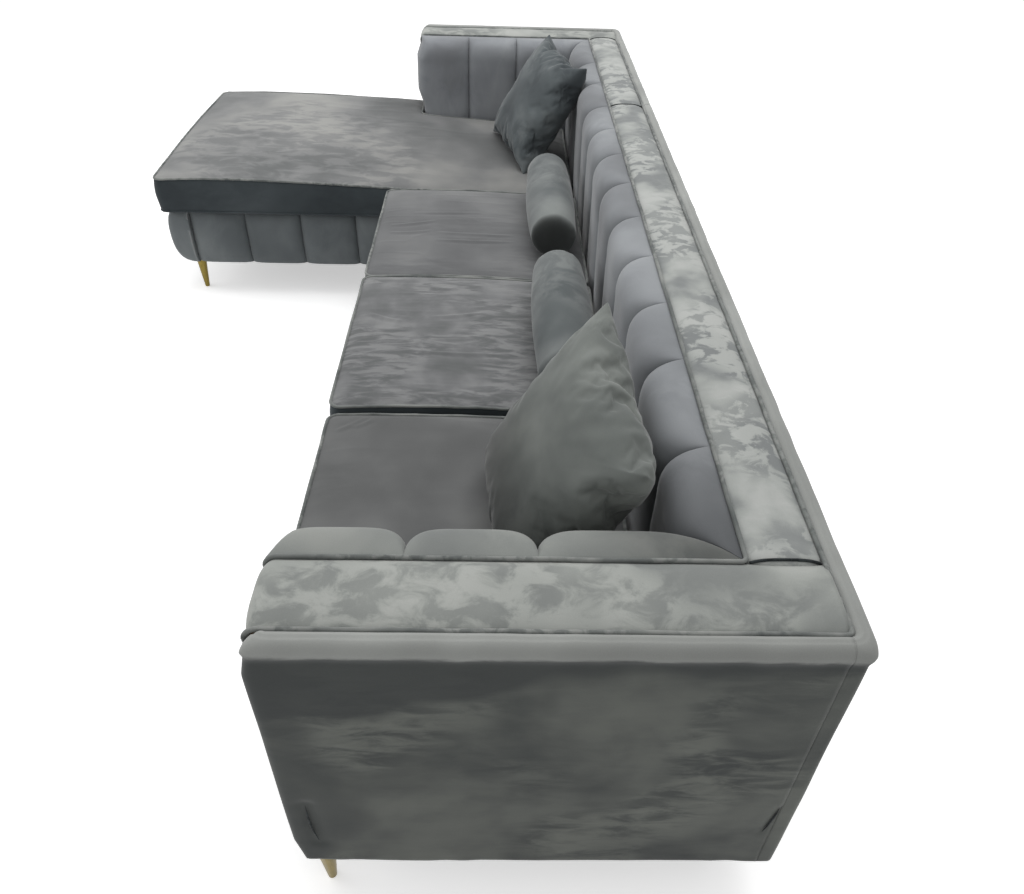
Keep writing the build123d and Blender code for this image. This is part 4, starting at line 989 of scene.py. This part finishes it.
low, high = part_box("chaise_cushion_cover")
arm_clearance, chaise_front_lift = 3 * mm, 22 * mm
notch_x, notch_y = -arm_face_x + channel_depth + arm_clearance, front_y - arm_clearance
chaise_corners = (
    (low.x, low.y), (high.x, low.y), (high.x, high.y),
    (notch_x, high.y), (notch_x, notch_y), (low.x, notch_y),
)
chaise_folds = (((0.06, 0.24, 1), 1.6 * mm, 6, 15), ((0.14, 0.05, 1), 1.2 * mm, 6, 16))
chaise_grid, chaise_crown_radius = (150, 220), 9.0
peak = np.array(((low.x + high.x) / 2, low.y + peak_share * (high.y - low.y)))
cushion("chaise_cushion", chaise_corners, (0, 1, 2, 3), chaise_grid, low.z, high.z, peak,
        chaise_crown_radius, 231, ("chaise_cushion_cover", "chaise_cushion_foam"), "chaise_cushion",
        chaise_folds, chaise_cloth, front_lift=chaise_front_lift)

# Bolsters
# Two soft rolls of fibre in velvet, sewn up round the ends. They sag where they lie on the seat. The
# far one's near end is darkened with painted shade.
bolster_cloth = velvet("velvet_near_bolster", "#54595a", "#6c7070", "#838785", patch=0.24, mark=0.06,
                       marked=0.4, edge=0.13, seed=31.0)
far_bolster_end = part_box("bolster_cover_far")[1].x
unshaded_x, shaded_end_x, end_shade_share = far_bolster_end - 45 * mm, far_bolster_end - 12 * mm, 0.22
# Painted shade: the far bolster's velvet darkens towards its near end.
far_bolster_cloth = velvet("velvet_far_bolster", "#54595a", "#6c7070", "#838785", patch=0.24, mark=0.06,
                           marked=0.4, edge=0.13, seed=31.0,
                           fade=("X", shaded_end_x, unshaded_x, end_shade_share))
bolster_round, bolster_taper, bolster_sag, bolster_width_share = 30 * mm, 9 * mm, 4 * mm, 1.02
tip_power, end_power = 0.8, 0.55
bolster_gathers, gather_run = ((1.6 * mm, (0.2, 0.013, 0.013)),), 45 * mm
bolster_waves = ((2.2 * mm, (0.12, 0.06, 0.06)), (0.7 * mm, (0.035, 0.03, 0.03)))
rest_blend, rest_run, rest_floor = 10 * mm, 12 * mm, 1.5 * mm


def bolster(name, seed, cloth, body, nodes):
    """A roll along X: its radius falls a little towards rounded ends, and its underside is flattened.

    The ends are a quarter superellipse to a point at the middle. Gathers fan out from the end seams.
    """
    low, high = (np.array(corner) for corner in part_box(nodes[0]))
    centre, half = (low + high) / 2, (high[0] - low[0]) / 2
    full = (high[2] - low[2]) / 2
    theta = np.linspace(0, np.pi / 2, 26)
    tip = half - bolster_round * (1 - np.sin(theta) ** tip_power)
    fall = np.linspace(-1, 1, 120) * (half - bolster_round)
    station = np.concatenate((-tip[::-1], fall[1:-1], tip))
    edge = full - bolster_taper
    radius = np.concatenate((
        edge * np.cos(theta[::-1]) ** end_power,
        full - bolster_taper * (fall[1:-1] / (half - bolster_round)) ** 2,
        edge * np.cos(theta) ** end_power,
    ))
    angle = np.linspace(0, 2 * np.pi, 160, endpoint=False)
    ring = np.dstack((
        np.broadcast_to(station[:, None], (len(station), len(angle))),
        radius[:, None] * np.cos(angle), radius[:, None] * np.sin(angle),
    ))
    from_end = (half - np.abs(station))[:, None]
    gathers = np.exp(-from_end / gather_run) * waves(ring, bolster_gathers, seed)
    grow = 1 + (gathers + waves(ring, bolster_waves, seed + 1)) / full * (radius[:, None] / full)
    ring[..., 1] *= grow * bolster_width_share
    ring[..., 2] *= grow
    under = np.minimum(ring[..., 2] - bolster_sag + full - rest_blend, 0)
    ring[..., 2] -= under * (1 - np.exp(under / rest_run))
    ring[..., 2] = np.maximum(ring[..., 2], rest_floor - full)
    piece = skin(name, centre + ring, grid_faces(len(station), len(angle), False, True))
    upholster(piece, cloth, nodes, body)


for roll_name, seed, cloth in (("near", 241, bolster_cloth), ("far", 251, far_bolster_cloth)):
    bolster("bolster_" + roll_name, seed, cloth, "bolster_" + roll_name,
            ("bolster_cover_" + roll_name, "bolster_filling_" + roll_name))

# Scatter cushions
# Two squares of velvet sewn edge to edge and stuffed full of fibre, leaning in the corners. They are
# blown up from flat, so the edges draw in and pucker; the corners end in small ears.
# Painted shade: the near cushion's colour darkens below its middle height.
near_pillow_cloth = velvet("velvet_near_pillow", "#585c5a", "#6d716e", "#838783", patch=0.24, mark=0.06,
                           marked=0.4, edge=0.13, fade=("Z", 0.54, 0.75, 0.25), seed=35.0)
# Painted shade: the far cushion takes a darker copy of the cushions' velvet, as it lies in shade.
shaded_pillow_cloth = velvet("velvet_far_pillow_shaded", "#42474a", "#565c5e", "#6c7172", patch=0.24, mark=0.06,
                             marked=0.4, edge=0.13, seed=33.0)
pillow_samples, edge_crowding, pillow_cut = 70, 0.35, 1.06
pillow_pressure, pillow_frames = 5.5, 26
pillow_front, pillow_back, pillow_fullness, flat_half = 72 * mm, 84 * mm, 0.8, 26 * mm
pillow_bow, ear_reach, ear_size = 0.10, 9 * mm, 16 * mm
blunt_reach, blunt_size = 20 * mm, 40 * mm
pillow_waves, pleat_waves = ((4 * mm, (0.11, 0.11, 1)),), ((3.6 * mm, (0.034, 0.034, 1)),)
pleat_share, pleat_spread, sides_apart = 0.82, 0.24, 0.2
near_edge, near_facing = (0.991, 0.084, -0.105), (0.125, -0.861, 0.494)
far_edge, far_facing = (0.962, 0.269, -0.036), (0.249, -0.821, 0.514)


def points_of(piece):
    """A mesh piece's points as rows of x, y and z."""
    places = np.empty(len(piece.data.vertices) * 3)
    piece.data.vertices.foreach_get("co", places)
    return places.reshape(-1, 3)


def inflate(piece, pressure, frames):
    """Blow a closed piece up as cloth, and keep where its points end."""
    cloth = piece.modifiers.new("inflate", "CLOTH")
    settings = cloth.settings
    settings.quality = 6
    settings.mass = 0.2
    settings.tension_stiffness = settings.compression_stiffness = 14
    settings.shear_stiffness = 4
    settings.bending_stiffness = 0.04
    settings.air_damping = 3
    settings.use_pressure = True
    settings.uniform_pressure_force = pressure
    settings.effector_weights.gravity = 0
    cloth.collision_settings.use_self_collision = False
    cloth.point_cache.frame_end = frames
    for frame_number in range(1, frames + 1):
        bpy.context.scene.frame_set(frame_number)
    places = points_of(piece.evaluated_get(bpy.context.evaluated_depsgraph_get()))
    piece.modifiers.remove(cloth)
    bpy.context.scene.frame_set(1)
    return places


def pillow(name, edge, facing, seed, cloth, body, nodes, blunt=False):
    """A square of two layers: a lens in its own plane, blown up, then laid on its plane in the sofa.

    Its sides are cut bowed outwards. Pleats are noise that is carried straight in from the edges. An ear
    is a bell curve outwards at a corner; a blunt corner is pressed in, as a wider bell curve.
    """
    low, high = (np.array(corner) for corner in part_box(nodes[0]))
    along = np.array(edge) / np.linalg.norm(edge)
    normal = np.array(facing) - along * (along @ np.array(facing))
    normal /= np.linalg.norm(normal)
    up = np.cross(normal, along)
    half = (high[2] - low[2]) / 2 / (np.abs(along[2]) + np.abs(up[2]))
    crowded = -np.cos(np.linspace(0, np.pi, pillow_samples))
    share = crowded * edge_crowding + np.linspace(-1, 1, pillow_samples) * (1 - edge_crowding)
    x, y = np.meshgrid(share, share, indexing="ij")
    lens = (1 - x ** 4) * (1 - y ** 4)
    bowed = np.dstack((x * (1 + pillow_bow * (1 - y ** 2)), y * (1 + pillow_bow * (1 - x ** 2))))
    plan = bowed * half * pillow_cut / (1 + pillow_bow)
    front, back = (np.dstack((plan, side * flat_half * lens)).reshape(-1, 3) for side in (1, -1))
    quads = grid_faces(pillow_samples, pillow_samples)
    piece = skin(name, *joined(((front, quads), (back, quads[:, ::-1]))))
    places = inflate(piece, pillow_pressure, pillow_frames)
    places[:, :2] *= half / np.abs(places[:, :2]).max()
    depth = places[:, 2]
    depth = np.where(
        depth > 0, pillow_front * (depth / depth.max()).clip(0) ** pillow_fullness,
        -pillow_back * (depth / depth.min()).clip(0) ** pillow_fullness,
    )
    thick = np.abs(depth) / pillow_back
    facing_side = np.sign(depth)[:, None] * sides_apart
    outness = np.abs(places[:, :2]).max(axis=1, keepdims=True)
    on_edge = np.hstack((places[:, :2] / outness.clip(1 * mm) * half, facing_side))
    pleated = np.exp(-((pleat_share - outness[:, 0] / half) / pleat_spread) ** 2)
    soft = waves(np.hstack((places[:, :2], facing_side)), pillow_waves, seed)
    depth = depth + thick ** 0.7 * (soft + pleated * waves(on_edge, pleat_waves, seed + 1))
    from_corner = (np.abs(places[:, :2]) / np.abs(places[:, :2]).max(axis=0) - 1) * half
    ear = ear_reach * np.exp(-((from_corner / ear_size) ** 2).sum(1))
    if blunt:
        pressed = (places[:, 0] > 0) & (places[:, 1] > 0)
        ear = np.where(pressed, -blunt_reach * np.exp(-((from_corner / blunt_size) ** 2).sum(1)), ear)
    places[:, :2] += ear[:, None] * np.sign(places[:, :2])
    centre = (low + high) / 2
    placed = centre + places[:, :1] * along + places[:, 1:2] * up + depth[:, None] * normal
    piece.data.vertices.foreach_set("co", placed.ravel())
    piece.data.update()
    finer = piece.modifiers.new("finer", "SUBSURF")
    finer.levels = finer.render_levels = 1
    upholster(piece, cloth, nodes, body)


pillow("pillow_near", near_edge, near_facing, 261, near_pillow_cloth, "pillow_near",
       ("pillow_cover_near", "pillow_filling_near"), blunt=True)
pillow("pillow_far", far_edge, far_facing, 271, shaded_pillow_cloth, "pillow_far",
       ("pillow_cover_far", "pillow_filling_far"))


# Webbing, decking and dust covers
# Woven polypropylene straps are tacked across the seat rails. Felt decking lies on them under the
# cushions, and a thin black spun cloth is stapled under each base. All sag between what holds them.
def under_cloth(name, dark, pale, pitch, strokes):
    """A plain cloth: two crossed waves a thread apart, over blotches of two near tones."""
    made, tree, out = material(name)
    place = node(tree, "ShaderNodeTexCoord").outputs["Object"]
    drawn = node(tree, "ShaderNodeVectorMath", {"operation": "MULTIPLY"}, i0=place, i1=strokes)
    blots = node(tree, "ShaderNodeTexNoise", Vector=drawn.outputs[0], Scale=1 / (40 * mm), Detail=6.0,
                 Roughness=0.7)
    warp, weft = (
        node(tree, "ShaderNodeTexWave", {"bands_direction": axis}, Vector=place, Scale=wave_band / pitch,
             Distortion=0.6)
        for axis in "XY"
    )
    thread = node(tree, "ShaderNodeMath", {"operation": "MULTIPLY"}, i0=warp.outputs["Fac"],
                  i1=weft.outputs["Fac"])
    tone = node(tree, "ShaderNodeMath", {"operation": "MULTIPLY_ADD"}, i0=thread.outputs[0], i1=0.5,
                i2=blots.outputs["Fac"])
    ramp = node(tree, "ShaderNodeValToRGB", Fac=tone.outputs[0])
    for stop, colour, where in zip(ramp.color_ramp.elements, (dark, pale), (0.3, 0.95)):
        stop.color, stop.position = linear(colour), where
    relief = node(tree, "ShaderNodeBump", Height=thread.outputs[0], Strength=0.6, Distance=0.3 * mm)
    cloth = node(tree, "ShaderNodeBsdfPrincipled", Roughness=0.85, Normal=relief.outputs[0],
                 **{"Base Color": ramp.outputs["Color"], "Specular IOR Level": 0.25})
    tree.links.new(cloth.outputs[0], out.inputs["Surface"])
    return made


# At scale 1 a wave texture has one band in this length.
wave_band = 0.314
strap_cloth = under_cloth("woven_polypropylene_webbing", "#2a2b2b", "#4a4b49", 2.4 * mm, (0.4, 3, 1))
felt_cloth = under_cloth("needled_felt_decking", "#3f4143", "#5e6163", 1.6 * mm, (1, 1, 1))
spun_cloth = under_cloth("spunbond_dust_cloth", "#121314", "#242627", 1.2 * mm, (1, 1, 1))
strap_width, strap_pitch, strap_margin = 60 * mm, 95 * mm, 40 * mm
dust_thickness, deck_thickness, strap_thickness = 0.8 * mm, 1.5 * mm, 1.6 * mm
dust_sag, deck_sag, strap_sag = 4 * mm, 1.4 * mm, 1.0 * mm
sheet_step, strap_step, patch_gap, deck_drop = 25 * mm, 20 * mm, 1 * mm, 0.5 * mm
sag_drift, sag_drift_size = 0.25, (0.09, 0.09, 1)


def flat_cloth(name, patches, top_z, thick, sag, step, seed):
    """Thin cloth over rectangles in the X-Y plane, which sags as the product of two half sines."""
    parts = []
    for low_x, low_y, high_x, high_y in patches:
        u = np.linspace(0, 1, int((high_x - low_x) / step) + 2)[:, None]
        v = np.linspace(0, 1, int((high_y - low_y) / step) + 2)[None]
        bowl = np.sin(np.pi * u) * np.sin(np.pi * v)
        x, y = low_x + (high_x - low_x) * u + 0 * v, low_y + (high_y - low_y) * v + 0 * u
        top = np.dstack((x, y, 0 * bowl))
        top[..., 2] = top_z - sag * bowl * (1 + sag_drift * ripple(top, sag_drift_size, seed))
        parts.append((np.stack((top, top - (0, 0, thick))).reshape(-1, 3), shell_faces(*bowl.shape)))
    return skin(name, *joined(parts))


def strap_patches(low_x, high_x, low_y, high_y):
    """The rectangles of straps along X, one pitch apart."""
    count = int((high_y - low_y - 2 * strap_margin) / strap_pitch) + 1
    starts = low_y + strap_margin + strap_pitch * np.arange(count)
    return [(low_x, start, high_x, start + strap_width) for start in starts]


dust_low, dust_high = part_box("sofa_dust_cover")
far_dust_low, far_dust_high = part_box("chaise_dust_cover")
deck_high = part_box("sofa_seat_deck")[1]
deck_top_z = deck_high.z - deck_drop
strap_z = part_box("sofa_webbing")[1].z
chaise_sides = outer_high.x, inner_low.x
base_front_y, patch_seam_y = far_dust_low.y, dust_low.y
chaise_front_patch = (chaise_sides[0], base_front_y, chaise_sides[1], patch_seam_y - patch_gap)
chaise_rails = ("chaise_end_rails", "chaise_side_rails")
dust_cloth = (dust_high.z, dust_thickness, dust_sag, spun_cloth, "dust_cloth")
decking = (deck_top_z, deck_thickness, deck_sag, felt_cloth, "decking")
for name, node_name, patches, rails, (top_z, thick, sag, cloth, slot) in (
    ("sofa_dust_cloth", "sofa_dust_cover", ((module_x, dust_low.y, dust_high.x, dust_high.y),),
     ("sofa_long_rails", "sofa_cross_rails"), dust_cloth),
    ("chaise_dust_cloth", "chaise_dust_cover",
     (chaise_front_patch, (far_dust_low.x, patch_seam_y, chaise_module_x, far_dust_high.y)),
     chaise_rails, dust_cloth),
    ("sofa_deck_felt", "sofa_seat_deck", ((module_x, dust_low.y, arm_face_x, deck_high.y),),
     ("sofa_long_rails",), decking),
    ("chaise_deck_felt", "chaise_seat_deck",
     (chaise_front_patch, (-arm_face_x, patch_seam_y, chaise_module_x, deck_high.y)),
     chaise_rails, decking),
):
    piece = flat_cloth(name, patches, top_z, thick, sag, sheet_step, 301)
    upholster(piece, cloth, (node_name,))
sofa_straps = strap_patches(module_x, arm_face_x, patch_seam_y, deck_high.y - strap_width)
chaise_straps = strap_patches(*chaise_sides, base_front_y, patch_seam_y - strap_width)
chaise_straps += strap_patches(-arm_face_x, chaise_module_x, patch_seam_y, deck_high.y - strap_width)
for name, patches in (("sofa_webbing", sofa_straps), ("chaise_webbing", chaise_straps)):
    piece = flat_cloth(name + "_straps", patches, strap_z, strap_thickness, strap_sag, strap_step, 311)
    upholster(piece, strap_cloth, (name,))


# Frame, legs, feet and metalwork
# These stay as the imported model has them: sawn pine rails and posts, birch-faced plywood panels,
# brushed brass-plated legs, moulded rear feet, and powder-coated plates held by zinc-plated screws.
def timber(name, dark, pale, run, ring):
    """Sawn wood: growth rings as stretched noise across the grain, with fine fibres drawn out along it."""
    made, tree, out = material(name)
    place = node(tree, "ShaderNodeTexCoord").outputs["Object"]
    drawn = node(tree, "ShaderNodeVectorMath", {"operation": "MULTIPLY"}, i0=place, i1=run).outputs[0]
    rings = node(tree, "ShaderNodeTexNoise", Vector=drawn, Scale=1 / ring, Detail=2.5, Distortion=1.4)
    fibres = node(tree, "ShaderNodeTexNoise", Vector=drawn, Scale=1 / (2.5 * mm), Detail=3.0)
    tone = node(tree, "ShaderNodeMath", {"operation": "MULTIPLY_ADD"}, i0=fibres.outputs["Fac"], i1=0.35,
                i2=rings.outputs["Fac"])
    ramp = node(tree, "ShaderNodeValToRGB", Fac=tone.outputs[0])
    for stop, colour, where in zip(ramp.color_ramp.elements, (dark, pale), (0.45, 0.9)):
        stop.color, stop.position = linear(colour), where
    relief = node(tree, "ShaderNodeBump", Height=fibres.outputs["Fac"], Strength=0.4, Distance=0.3 * mm)
    wood = node(tree, "ShaderNodeBsdfPrincipled", Roughness=0.62, Normal=relief.outputs[0],
                **{"Base Color": ramp.outputs["Color"]})
    tree.links.new(wood.outputs[0], out.inputs["Surface"])
    return made


def hard_finish(name, dark, pale, metallic, smooth, rough, grain, run, relief_depth):
    """Plated, painted or moulded: two near tones and two roughnesses over fine noise that run stretches."""
    made, tree, out = material(name)
    place = node(tree, "ShaderNodeTexCoord").outputs["Object"]
    drawn = node(tree, "ShaderNodeVectorMath", {"operation": "MULTIPLY"}, i0=place, i1=run)
    fine = node(tree, "ShaderNodeTexNoise", Vector=drawn.outputs[0], Scale=1 / grain, Detail=4.0,
                Roughness=0.6).outputs["Fac"]
    ramp = node(tree, "ShaderNodeValToRGB", Fac=fine)
    for stop, colour, where in zip(ramp.color_ramp.elements, (dark, pale), (0.3, 0.7)):
        stop.color, stop.position = linear(colour), where
    spread = node(tree, "ShaderNodeMapRange", i0=fine, i3=smooth, i4=rough)
    relief = node(tree, "ShaderNodeBump", Height=fine, Strength=0.5, Distance=relief_depth)
    surface = node(tree, "ShaderNodeBsdfPrincipled", Metallic=metallic, Roughness=spread.outputs[0],
                   Normal=relief.outputs[0], **{"Base Color": ramp.outputs["Color"]})
    tree.links.new(surface.outputs[0], out.inputs["Surface"])
    return made


# Sawn pine shows its grain along each rail, and peeled birch a broad pale figure. Brushed brass glints
# in lines up the leg. Moulded and powder-coated pieces are dark and dull, and zinc is bright.
along_x, along_y, along_z = (0.05, 1, 1), (1, 0.05, 1), (1, 1, 0.05)
all_ways, up_the_leg = (1, 1, 1), (1, 1, 0.04)
pine_x, pine_y, pine_z = (
    timber("sawn_pine_grain_" + axis, "#a97f4f", "#d9b98a", run, 9 * mm)
    for axis, run in (("x", along_x), ("y", along_y), ("z", along_z))
)
plywood = timber("rotary_cut_birch_plywood", "#b89468", "#dcc39b", (0.12, 1, 0.12), 22 * mm)
brass = hard_finish("brushed_brass_plate", "#6b5e30", "#938246", 1.0, 0.24, 0.42, 1.2 * mm, up_the_leg,
                    0.05 * mm)
plastic = hard_finish("moulded_black_polypropylene", "#131415", "#1e1f20", 0.0, 0.42, 0.60, 0.8 * mm,
                      all_ways, 0.06 * mm)
plate = hard_finish("black_powder_coated_steel", "#1d1e1f", "#2a2b2d", 0.0, 0.40, 0.58, 0.9 * mm, all_ways,
                    0.05 * mm)
zinc = hard_finish("zinc_plated_steel", "#9a9da1", "#c3c6c9", 1.0, 0.28, 0.45, 0.6 * mm, all_ways,
                   0.03 * mm)
finishes = {
    pine_x: ("sofa_long_rails", "sofa_back_top_rail", "chaise_end_rails", "chaise_back_top_rail",
             "chaise_cross_rails"),
    pine_y: ("sofa_cross_rails", "chaise_side_rails", "sofa_arm_top_board", "chaise_arm_top_board"),
    pine_z: ("sofa_back_posts", "sofa_arm_posts", "chaise_back_posts", "chaise_arm_posts", "corner_blocks"),
    plywood: ("sofa_panels", "chaise_panels"),
    brass: ("front_legs",),
    plastic: ("rear_feet",),
    plate: ("leg_plates", "joining_plates"),
    zinc: ("screws",),
}
for finish, node_names in finishes.items():
    for node_name in node_names:
        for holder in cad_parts[node_name].material_slots:
            holder.material = finish
